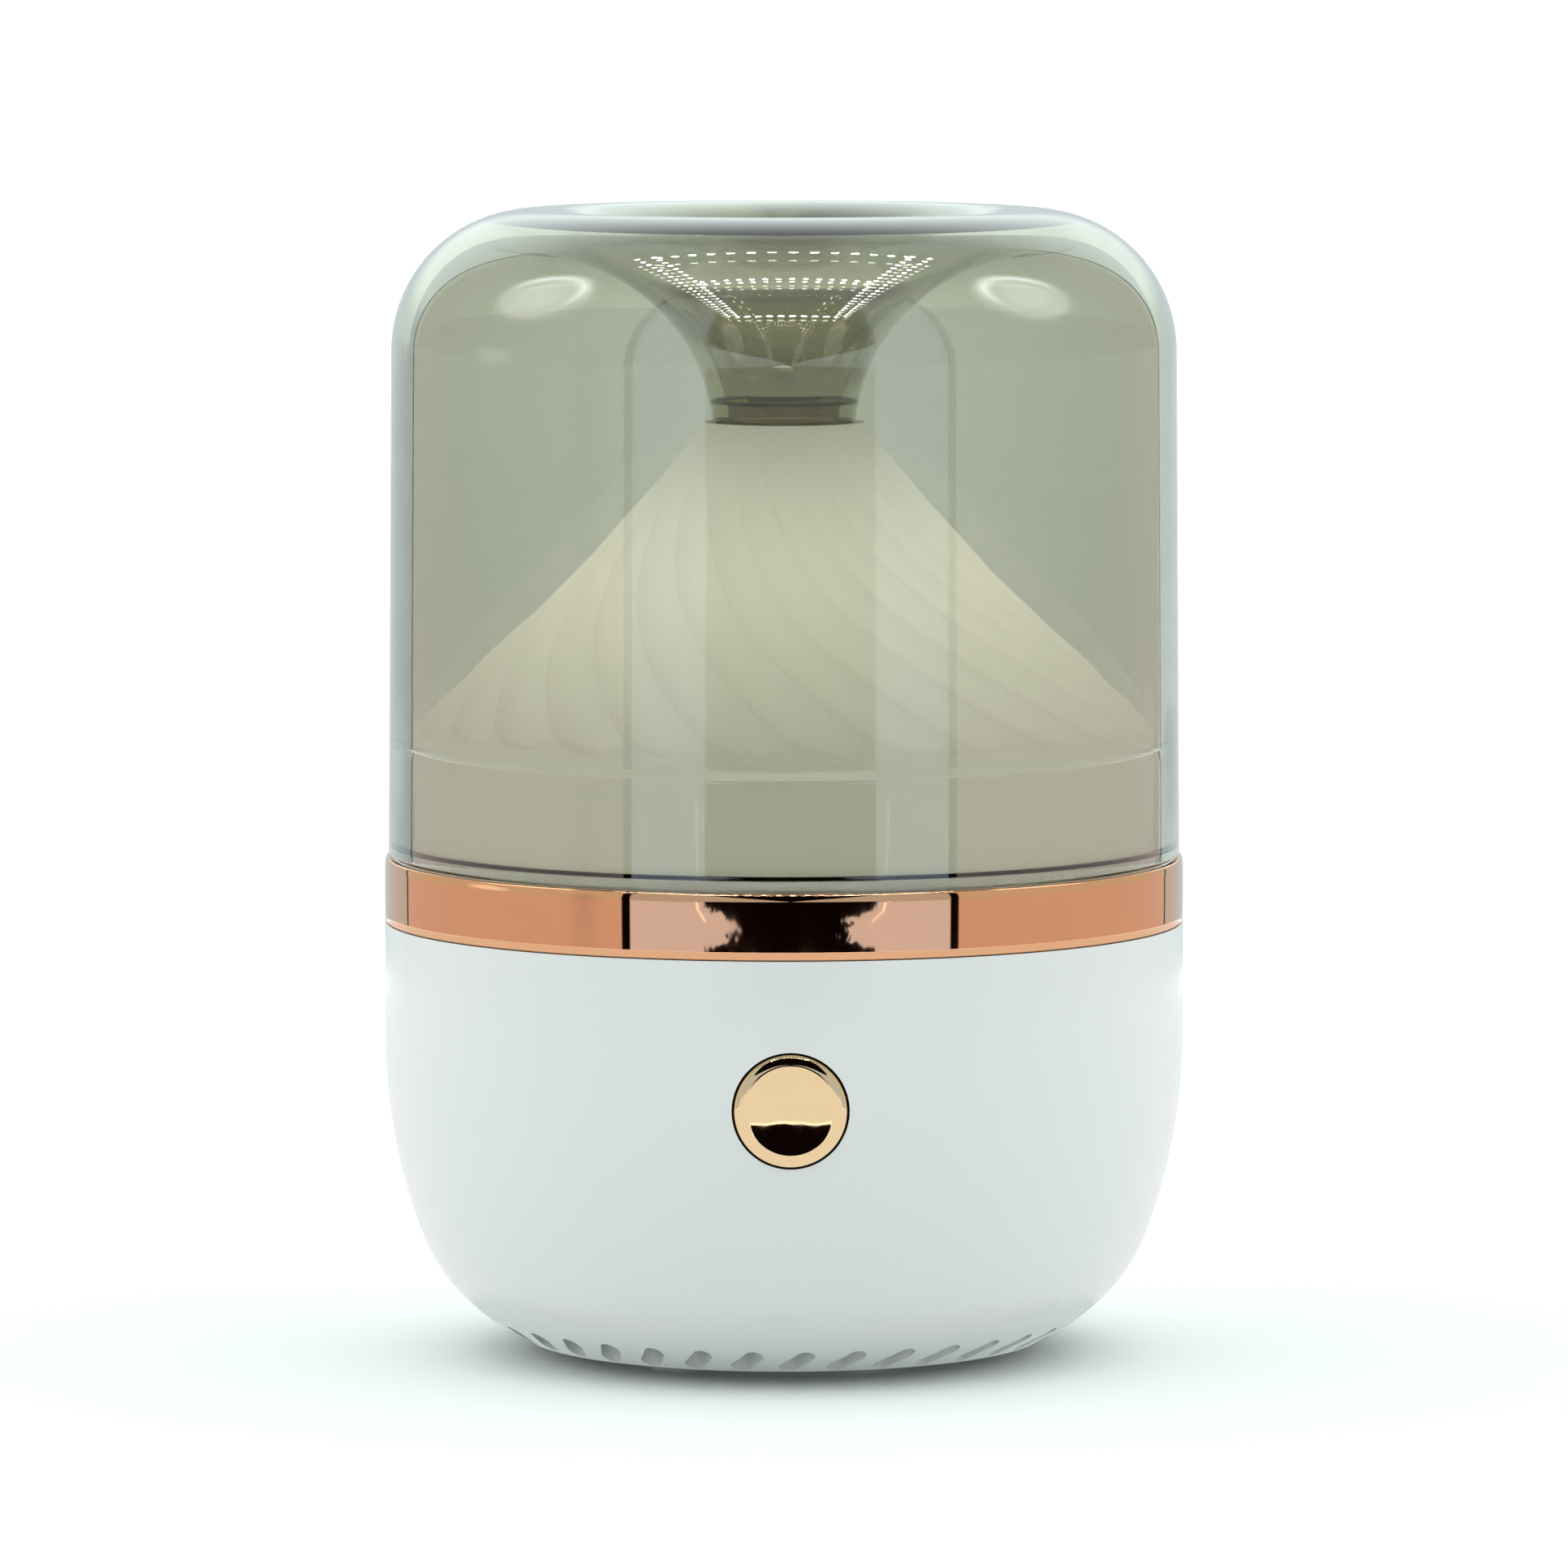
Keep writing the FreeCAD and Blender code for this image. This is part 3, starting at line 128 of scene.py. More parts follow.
class Graph:
    """Small wrapper that adds nodes to a tree and links values or sockets to their inputs."""

    def __init__(self, tree):
        self.tree = tree
        tree.nodes.clear()

    def node(self, kind, **inputs):
        """Adds a node with its inputs by name, and gives its first output."""
        item = self.tree.nodes.new(kind)
        for key, value in inputs.items():
            self.feed(item.inputs[key], value)
        return item.outputs[0]

    def feed(self, socket, value):
        """Links a socket to the input, or sets the input to a value."""
        if isinstance(value, bpy.types.NodeSocket):
            self.tree.links.new(value, socket)
        else:
            socket.default_value = value

    def math(self, operation, *values):
        item = self.tree.nodes.new("ShaderNodeMath")
        item.operation = operation
        for socket, value in zip(item.inputs, values):
            self.feed(socket, value)
        return item.outputs[0]

    def total(self, *values):
        result = values[0]
        for value in values[1:]:
            result = self.math("ADD", result, value)
        return result

    def product(self, *values):
        result = values[0]
        for value in values[1:]:
            result = self.math("MULTIPLY", result, value)
        return result

    def ramp(self, value, low, high, at_low=0.0, at_high=1.0):
        """Smooth step from one result to another between two values, held level outside them."""
        item = self.tree.nodes.new("ShaderNodeMapRange")
        item.interpolation_type = "SMOOTHSTEP"
        for socket, number in zip(item.inputs, (value, low, high, at_low, at_high)):
            self.feed(socket, number)
        return item.outputs[0]

    def mix(self, factor, first, second):
        """Blend of two colours."""
        item = self.tree.nodes.new("ShaderNodeMix")
        item.data_type = "RGBA"
        self.feed(item.inputs[0], factor)
        self.feed(item.inputs[6], first)
        self.feed(item.inputs[7], second)
        return item.outputs[2]

    def vector(self, operation, *values):
        item = self.tree.nodes.new("ShaderNodeVectorMath")
        item.operation = operation
        for socket, value in zip(item.inputs, values):
            self.feed(socket, value)
        return item.outputs["Value" if operation == "LENGTH" else "Vector"]

    def place(self):
        """Position in the object's own frame, in metres."""
        return self.tree.nodes.new("ShaderNodeTexCoord").outputs["Object"]

    def height(self):
        split = self.tree.nodes.new("ShaderNodeSeparateXYZ")
        self.feed(split.inputs[0], self.place())
        return split.outputs["Z"]

    def from_axis(self):
        """Distance from the upright axis, in metres."""
        return self.vector("LENGTH", self.vector("MULTIPLY", self.place(), (1, 1, 0)))

    def noise(self, scale, detail=3.0, stretch=None):
        place = self.place()
        if stretch:
            mapping = self.tree.nodes.new("ShaderNodeMapping")
            self.feed(mapping.inputs[0], place)
            self.feed(mapping.inputs["Scale"], stretch)
            place = mapping.outputs[0]
        item = self.tree.nodes.new("ShaderNodeTexNoise")
        self.feed(item.inputs["Vector"], place)
        self.feed(item.inputs["Scale"], scale)
        self.feed(item.inputs["Detail"], detail)
        return item.outputs["Fac"]

    def bump(self, height, strength, distance):
        return self.node("ShaderNodeBump", Strength=strength, Distance=distance, Height=height)


# heights and reaches in the dome's own frame, in mm
COLLAR_TOP, COLLAR_SHADE_HALF, THROAT_REACH = 119.0, 0.24, 10.0
# the near-black lines painted on the dome, just above its step and at the collar, are painted shade
STEP_SHADE_LINE, STEP_SHADE_HALF = 63.875, 0.175
FUNNEL_TINT = (22.0, 33.0)
# how far the fine grain and the flow ripples stand up, in metres
GRAIN_HEIGHT, FLOW_HEIGHT = 0.0002, 0.001


def new_material(name):
    """Empty material with a principled shader: the material, its graph, the shader and the output."""
    material = bpy.data.materials.new(name)
    material.use_nodes = True
    graph = Graph(material.node_tree)
    shader = graph.tree.nodes.new("ShaderNodeBsdfPrincipled")
    output = graph.tree.nodes.new("ShaderNodeOutputMaterial")
    graph.feed(output.inputs["Surface"], shader.outputs[0])
    return material, graph, shader, output


def shaded(colour, share):
    """The colour at a share of its strength, opaque."""
    return tuple(channel * share for channel in colour) + (1.0,)


def finish_material(name, colour, low_rough, high_rough, grain=900.0, bump=0.05, shade_share=0.94,
                    cloud=60.0, stretch=None, painted_top_shade=None, **constants):
    """Opaque finish with cloudy colour, uneven roughness and a fine surface grain.

    Constants go on the shader's sockets. A painted top shade is (low height in mm, high height in mm, share at
    the top): painted shade that darkens the colour towards the top."""
    material, graph, shader, _ = new_material(name)
    tone = graph.mix(graph.noise(cloud, 4.0), shaded(colour, shade_share), shaded(colour, 1.0))
    # painted shade: the colour darkens towards the top
    if painted_top_shade:
        low, high, share = painted_top_shade
        tone = graph.mix(graph.ramp(graph.height(), low * MM, high * MM), tone, shaded(colour, share))
    graph.feed(shader.inputs["Base Color"], tone)
    fine = graph.noise(grain, 2.0, stretch)
    graph.feed(shader.inputs["Roughness"], graph.ramp(fine, 0.3, 0.7, low_rough, high_rough))
    graph.feed(shader.inputs["Normal"], graph.bump(fine, bump, GRAIN_HEIGHT))
    for key, value in constants.items():
        shader.inputs[key.replace("_", " ")].default_value = value
    return material


def smoked_material(name, colour, density):
    """Clear moulded plastic, tinted through its thickness and more in the funnel and collar, with faint flow
    ripples, handling haze, and painted shade: a near-black line just above the step at the foot and a
    near-black line at the collar stand for the shade seen there."""
    material, graph, shader, output = new_material(name)
    for key, value in (("Transmission Weight", 1.0), ("IOR", 1.49), ("Coat Weight", 1.0), ("Coat IOR", 1.6),
                       ("Coat Roughness", 0.01)):
        shader.inputs[key].default_value = value
    height, radius = graph.height(), graph.from_axis()

    def line_at(level, half):
        """1 within a half width of a height, in mm."""
        away = graph.math("ABSOLUTE", graph.math("SUBTRACT", height, level * MM))
        return graph.math("LESS_THAN", away, half * MM)

    near_throat = graph.math("LESS_THAN", radius, THROAT_REACH * MM)
    collar = graph.product(graph.math("LESS_THAN", height, COLLAR_TOP * MM), near_throat)
    # painted shade: near-black lines just above the foot's step and at the collar
    dark = graph.math("MAXIMUM", line_at(STEP_SHADE_LINE, STEP_SHADE_HALF),
                      graph.product(line_at(COLLAR_TOP, COLLAR_SHADE_HALF), near_throat))
    funnel = graph.ramp(radius, FUNNEL_TINT[0] * MM, FUNNEL_TINT[1] * MM, 1.0, 0.0)
    tint = graph.mix(graph.noise(14.0, 2.0), (0.97, 0.98, 0.97, 1), (1, 1, 1, 1))
    tint = graph.mix(funnel, tint, (0.955, 0.91, 0.82, 1))
    tint = graph.mix(collar, tint, (0.77, 0.65, 0.48, 1))
    graph.feed(shader.inputs["Base Color"], graph.mix(dark, tint, (0.002, 0.002, 0.002, 1)))
    graph.feed(shader.inputs["Roughness"], graph.ramp(graph.noise(35.0, 4.0), 0.45, 0.8, 0.004, 0.03))
    flow = graph.noise(22.0, 1.0, (1.0, 1.0, 0.25))
    graph.feed(shader.inputs["Normal"], graph.bump(flow, 0.02, FLOW_HEIGHT))
    absorb = graph.tree.nodes.new("ShaderNodeVolumeAbsorption")
    absorb.inputs["Color"].default_value = colour
    absorb.inputs["Density"].default_value = density
    graph.feed(output.inputs["Volume"], absorb.outputs[0])
    return material


def dress(item, material, body, replaced=None):
    """Gives a new piece its material and its body, and hides the node that it replaces."""
    item.data.materials.append(material)
    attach(item, body)
    if replaced:
        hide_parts(replaced)


SMOKE = smoked_material("smoked_clear", (0.502, 0.517, 0.420, 1), 400.0)
# the frosted guide is painted darker towards its top: painted shade, standing for the shade the funnel casts
# there
FROST = finish_material("frosted_white", (0.92, 0.87, 0.80), 0.38, 0.52, grain=1400, bump=0.06,
                        shade_share=0.97, painted_top_shade=(96.0, 119.0, 0.66))
COPPER_RING = finish_material("rose_gold", (0.83, 0.46, 0.26), 0.015, 0.035, grain=500, bump=0.006,
                              shade_share=0.88, stretch=(1.0, 1.0, 0.05), Metallic=1.0)
GOLD = finish_material("gold", (0.88, 0.67, 0.41), 0.012, 0.03, grain=700, bump=0.004, shade_share=0.97,
                       Metallic=1.0)
WHITE = finish_material("base_white", (0.76, 0.786, 0.795), 0.16, 0.24, grain=1800, bump=0.02,
                        shade_share=0.985, cloud=25.0, Coat_Weight=0.3, Coat_Roughness=0.1)
TANK = finish_material("tank_white", (0.74, 0.75, 0.73), 0.28, 0.4, grain=1500, bump=0.04)
SILICONE = finish_material("silicone", (0.62, 0.62, 0.60), 0.5, 0.65, grain=1200, bump=0.08)
RUBBER = finish_material("foot_rubber", (0.80, 0.84, 0.80), 0.6, 0.8, grain=1600, bump=0.15, shade_share=0.85)
DISC = finish_material("disc_metal", (0.70, 0.68, 0.62), 0.2, 0.35, grain=800, bump=0.03, Metallic=1.0)
COPPER = finish_material("copper", (0.72, 0.34, 0.20), 0.25, 0.4, grain=1200, bump=0.2, stretch=(1, 1, 8.0),
                         Metallic=1.0)
STEEL = finish_material("screw_steel", (0.58, 0.58, 0.57), 0.22, 0.38, grain=1500, bump=0.05, Metallic=1.0)
BOARD = finish_material("board_green", (0.04, 0.20, 0.09), 0.3, 0.45, grain=900, bump=0.08, shade_share=0.7,
                        cloud=220.0)
LAMP = finish_material("light_white", (0.86, 0.86, 0.80), 0.2, 0.3, grain=1500, bump=0.03)
BLACK = finish_material("black_plastic", (0.022, 0.022, 0.024), 0.35, 0.5, grain=1600, bump=0.12,
                        shade_share=0.8)
# matte black without reflection, for the ring that paints the shade in the button's gap
GAP_SHADE = finish_material("gap_shade_black", (0.012, 0.006, 0.004), 0.7, 0.8, grain=1600, bump=0.12, shade_share=0.8,
                       Specular_IOR_Level=0.0)
LEADS = finish_material("lead_cover", (0.45, 0.10, 0.08), 0.4, 0.55, grain=1500, bump=0.06, shade_share=0.85)
CONTACT = finish_material("contact_metal", (0.80, 0.72, 0.50), 0.15, 0.3, grain=1500, bump=0.03, Metallic=1.0)

# ---------------------------------------------------------------- dome cover

DOME_STEP = 63.8
dome_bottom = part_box("cover_dome")[0].z / MM
# centre and radius of the outer shoulder arc, and centre of the funnel's arc
SHOULDER, SHOULDER_ARC, FUNNEL = (31.3, 125.3), 17.7, (35.5, 113.0)
dome_section = chain(
    arc((49.2, 62.8), 0.3, -90, 0, 5),
    line((49.5, 62.8), (49.388, 76.75), 10),
    [(49.42, 76.85), (49.42, 76.95), (49.387, 77.05)],
    line((49.386, 77.1), (49.0, 125.3), 32),
    arc(SHOULDER, SHOULDER_ARC, 0, 139.4, 110),
    arc(FUNNEL, 28.9, 139.4, 172, 30),
    [(6.88, COLLAR_TOP + 0.25), (7.1, COLLAR_TOP + 0.1), (7.1, COLLAR_TOP - 0.1), (6.88, COLLAR_TOP - 0.25)],
    line((6.88, 117.0), (6.88, 116.9), 1),
    arc((7.18, 116.9), 0.2, 180, 270, 4),
    arc((8.66, 116.9), 0.2, 270, 360, 4),
    arc(FUNNEL, 26.8, 172, 87.4, 70),
    arc(SHOULDER, 15.4, 69.4, 0, 50),
    line((46.7, 125.3), (47.0, DOME_STEP), 40),
    [(47.3, DOME_STEP), (47.3, 58.7), (47.4, dome_bottom), (48.2, dome_bottom), (48.3, 58.7), (48.3, 62.5)],
)
dress(lathe("dome_cover", dome_section, 40), SMOKE, "cover", "cover_dome")

# ---------------------------------------------------------------- mist guide

FLUTES, SWIRL, PER_FLUTE = 28, 1.63, 22
RIM, RIM_HEIGHT = 46.3, 78.6
RIDGE_AT_RIM = 2.0
FLUTE_DEPTH = 1.3


def spline(points, count):
    """Natural cubic spline through the points: count places, evenly spaced along the straight chords."""
    points = np.array(points, float)
    spots = np.concatenate([[0], np.cumsum(np.linalg.norm(np.diff(points, axis=0), axis=1))])
    steps = np.diff(spots)
    size = len(points)
    system, right = np.eye(size), np.zeros((size, 2))
    for i in range(1, size - 1):
        system[i, i - 1:i + 2] = steps[i - 1], 2 * (steps[i - 1] + steps[i]), steps[i]
        right[i] = 6 * ((points[i + 1] - points[i]) / steps[i] - (points[i] - points[i - 1]) / steps[i - 1])
    bend = np.linalg.solve(system, right)
    result = []
    for spot in np.linspace(0, spots[-1], count):
        i = min(int(np.searchsorted(spots, spot, side="right")) - 1, size - 2)
        a, b, h = spots[i + 1] - spot, spot - spots[i], steps[i]
        curved = (bend[i] * a ** 3 + bend[i + 1] * b ** 3) / (6 * h)
        straight = (points[i] / h - bend[i] * h / 6) * a + (points[i + 1] / h - bend[i + 1] * h / 6) * b
        result.append(tuple(curved + straight))
    return result


def smooth(value):
    value = min(max(value, 0.0), 1.0)
    return value * value * (3 - 2 * value)


def flute_depth(share, run, radius):
    """How deep a scoop is at a run up the cone from the rim: sharp ridges at share 0 and 1, a rounded end
    just below the rim, and fading out near the top."""
    across = 4 * share * (1 - share)
    end = 0.9 - 2.4 * across
    return FLUTE_DEPTH * across * smooth((run - end) / 2.6) * smooth((radius - 12) / 14)


cone = spline([(RIM, RIM_HEIGHT), (42.5, 82.2), (37.3, 87.2), (28.9, 94.9), (20.7, 103.6), (12.2, 113.5),
               (10.0, 116.4)], 110)
outer = (line((RIM, 62.2), (RIM, 75.8), 8) + line((RIM, 76.0), (RIM, RIM_HEIGHT - 0.25), 9)
         + [(46.26, 78.48), (46.12, 78.74)] + cone[2:])
plain = chain(
    [outer[-1]],
    [(9.9, 116.4), (9.0, 116.4), (8.6, 116.3)],
    line((8.6, 114.6), (16.9, 103.3), 6),
    line((16.9, 103.3), (44.7, 77.4), 14),
    [(44.7, 66.5), (43.2, 65.0), (43.2, 57.7), (43.4, 57.5), (44.4, 57.5), (44.6, 57.7), (44.6, 61.8),
     (44.8, 62.0), (46.1, 62.0), outer[0]],
)[1:-1]
runs = []
for radius, height in outer:
    runs.append(math.dist((radius, height), (RIM, RIM_HEIGHT)) * (1 if height >= RIM_HEIGHT - 0.15 else -1))
columns = FLUTES * PER_FLUTE
guide_points = []
for i in range(columns):
    share = (i % PER_FLUTE) / PER_FLUTE
    base_angle = 2 * math.pi * i / columns
    for (radius, height), run in zip(outer, runs):
        turn = math.radians(SWIRL * (radius - RIM) + RIDGE_AT_RIM) + base_angle
        depth = flute_depth(share, run, radius)
        reach, level = radius - depth * 0.75, height - depth * 0.6 * smooth((run + 1.2) / 2.4)
        guide_points.append((reach * math.sin(turn) * MM, -reach * math.cos(turn) * MM, level * MM))
    for radius, height in plain:
        # the inside follows the skin's turn, so that the columns meet without a twist
        turn = math.radians(SWIRL * (min(radius, RIM) - RIM) + RIDGE_AT_RIM) + base_angle
        guide_points.append((radius * math.sin(turn) * MM, -radius * math.cos(turn) * MM, height * MM))
dress(grid_solid("fluted_guide", guide_points, columns, len(outer) + len(plain), 45), FROST, "guide",
      "mist_guide")

# ---------------------------------------------------------------- trim ring

ring_section = chain(
    arc((49.6, 54.35), 0.3, -90, -6, 8),
    arc((-250.0, 58.1), 300.0, -0.62, 0.62, 24),
    arc((49.6, 61.85), 0.3, 6, 90, 8),
    [(48.8, 62.2), (48.6, 62.0), (48.6, 55.6), (46.9, 55.6), (46.9, 54.4), (48.6, 54.4), (48.6, 54.1)],
)
dress(lathe("copper_ring", ring_section, 50), COPPER_RING, "base", "trim_ring")

# ---------------------------------------------------------------- button

BUTTON_HEIGHT, BUTTON_FRONT, BUTTON_SEGMENTS = 35.8, 49.95, 128
# reach, depth and curve radius of the hollow in the button's face
DISH, DISH_DEPTH, DISH_CURVE = 5.35, 0.175, 82
dish_reaches = [DISH * (24 - i) / 24 for i in range(25)]
cap_section = chain(
    [(0.0, 44.6), (2.5, 44.6), (2.5, 45.4), (8.2, 45.4), (8.2, 46.6), (6.85, 46.6)],
    line((6.85, 46.6), (6.85, 49.35), 6),
    arc((6.55, 49.35), 0.3, 0, 52, 6),
    arc((5.5, 47.3), 2.65, 66, 90, 14),
    [(reach, BUTTON_FRONT - DISH_DEPTH + DISH_CURVE - math.sqrt(DISH_CURVE ** 2 - reach ** 2))
     for reach in dish_reaches],
)


def facing_lathe(name, section):
    """Solid of revolution about the button's axis, from a section of (radius, reach towards the front)."""
    points = []
    for i in range(BUTTON_SEGMENTS):
        angle = 2 * math.pi * i / BUTTON_SEGMENTS
        for radius, reach in section:
            radius = max(radius, 0.01)
            points.append((radius * math.sin(angle) * MM, -reach * MM,
                           (BUTTON_HEIGHT + radius * math.cos(angle)) * MM))
    return grid_solid(name, points, BUTTON_SEGMENTS, len(section), 40)


dress(facing_lathe("gold_cap", cap_section), GOLD, "button", "button_cap")
# a black ring in the gap round the button: painted shade, standing for the shade in that gap
gap_shade_section = [(6.87, 46.8), (7.13, 46.8), (7.13, 49.2), (6.87, 49.2)]
dress(facing_lathe("gap_shade_ring", gap_shade_section), GAP_SHADE, "button")

NODES_FINISH = {
    "base_shell": WHITE, "bottom_cover": WHITE, "water_tank": TANK, "duct_cap": TANK, "tank_gasket": SILICONE,
    "transducer_disc": DISC, "transducer_gasket": SILICONE, "transducer_electrode": CONTACT,
    "transducer_retainer": BLACK, "retainer_screws": STEEL, "light_board": BOARD, "light_board_screws": STEEL,
    "lights": LAMP, "fan_frame": BLACK, "fan_screws": STEEL, "fan_bearing": STEEL, "fan_stator": COPPER,
    "fan_impeller": BLACK, "fan_shaft": STEEL, "main_board": BOARD, "main_board_screws": STEEL,
    "driver_coil": COPPER, "capacitors": BLACK, "driver_chip": BLACK, "driver_transistor": BLACK,
    "lead_sockets": LAMP, "power_socket": BLACK, "power_socket_pin": CONTACT, "disc_lead": LEADS,
    "light_lead": LEADS, "fan_lead": LEADS, "button_lead": LEADS, "switch_body": BLACK,
    "switch_plunger": LAMP, "button_board": BOARD, "cover_screws": STEEL, "rubber_feet": RUBBER,
}
for name, material in NODES_FINISH.items():
    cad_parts[name].data.materials.clear()
    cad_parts[name].data.materials.append(material)

# ---------------------------------------------------------------- camera

CAMERA_TURN, CAMERA_DISTANCE, CAMERA_HEIGHT, AIM_HEIGHT, LENS = 0.93, 1.275, 0.187, 0.071, 234.6
camera = bpy.data.objects.new("camera", bpy.data.cameras.new("camera"))
bpy.context.scene.collection.objects.link(camera)
camera.data.lens = LENS
camera.data.sensor_width = 36
camera.data.clip_end = 100
camera.location = (-CAMERA_DISTANCE * math.sin(math.radians(CAMERA_TURN)),
                   -CAMERA_DISTANCE * math.cos(math.radians(CAMERA_TURN)), CAMERA_HEIGHT)
camera.rotation_mode = "QUATERNION"
camera.rotation_quaternion = (Vector((0, 0, AIM_HEIGHT)) - camera.location).to_track_quat("-Z", "Y")
bpy.context.scene.camera = camera

# ---------------------------------------------------------------- studio

bpy.context.scene.view_settings.view_transform = "Standard"

FLOOR_RADIUS, FLOOR_SIDES = 40.0, 64
floor_turns = [2 * math.pi * i / FLOOR_SIDES for i in range(FLOOR_SIDES)]
floor = new_object("floor", [(FLOOR_RADIUS * math.cos(turn), FLOOR_RADIUS * math.sin(turn), 0.0)
                             for turn in floor_turns], [tuple(range(FLOOR_SIDES))])
floor.data.materials.append(finish_material("floor_paper", (0.865, 0.905, 0.875), 0.8, 0.9, grain=300,
                                            bump=0.02, shade_share=0.99))
floor.visible_glossy = False

PAPER = (1.0, 0.99, 0.96)
DARK = (0.004, 0.002, 0.002, 1)
# overall strength of the light that reaches the guide through the dome
GUIDE_LIGHT = 3.85


def glow_card(name, points, faces, colour, strength):
    """A glowing card that shows only in mirror reflections."""
    material = bpy.data.materials.new(name)
    material.use_nodes = True
    graph = Graph(material.node_tree)
    tone = graph.mix(graph.noise(12.0, 3.0), shaded(colour, 0.96), shaded(colour, 1.0))
    output = graph.tree.nodes.new("ShaderNodeOutputMaterial")
    graph.feed(output.inputs["Surface"], graph.node("ShaderNodeEmission", Color=tone, Strength=strength))
    item = new_object(name, points, faces)
    item.data.materials.append(material)
    item.visible_camera = item.visible_diffuse = item.visible_transmission = item.visible_shadow = False
    item.visible_volume_scatter = False


def paper_edge(bearing):
    """How far the near paper reaches: its edge wanders a little."""
    return (0.445 + 0.010 * math.sin(math.radians(bearing * 52 + 200))
            + 0.005 * math.sin(math.radians(bearing * 113)))


def paper_ring(name, start, end, strength):
    """A sheet on the floor between two shares of the way to the paper's edge."""
    count = 720
    turns = [360 * i / count - 180 for i in range(count)]
    points = [(share * paper_edge(turn) * math.sin(math.radians(turn)),
               -share * paper_edge(turn) * math.cos(math.radians(turn)), 0.0005)
              for share in (start, end) for turn in turns]
    faces = [(i, (i + 1) % count, count + (i + 1) % count, count + i) for i in range(count)]
    glow_card(name, points, faces, PAPER, strength)


def low_card(name, near_edge, far_edge):
    """An upright card that stands low in front of the button, to one side of it."""
    reach, foot, top = 0.15, 0.001, 0.0372
    points = [(near_edge, -reach, foot), (far_edge, -reach, foot),
              (far_edge, -reach, top), (near_edge, -reach, top)]
    glow_card(name, points, [(0, 1, 2, 3)], PAPER, 0.97)


def strip(name, bearings):
    """A narrow bright strip standing in front of the object, given by bearing and height at each point."""
    reach, width, points = 0.40, 0.005, []
    for bearing, height in bearings:
        for side in (-1, 1):
            angle = math.radians(bearing) + side * width / 2 / reach
            points.append((reach * math.sin(angle), -reach * math.cos(angle), height))
    faces = [(2 * i, 2 * i + 1, 2 * i + 3, 2 * i + 2) for i in range(len(bearings) - 1)]
    glow_card(name, points, faces, (1.0, 1.0, 0.98), 1.6)


paper_ring("near_paper", 0.1, 0.93, 0.97)
paper_ring("near_paper_edge", 0.93, 1.0, 1.5)
low_card("left_card", -0.0115, -0.07)
low_card("right_card", 0.0125, 0.07)
strip("left_strip", [(-24.6, 0.0465), (-24.3, 0.036), (-23.9, 0.029), (-21.8, 0.0235)])
strip("right_strip", [(27.4, 0.0465), (26.8, 0.036), (25.6, 0.028), (22.5, 0.0235)])


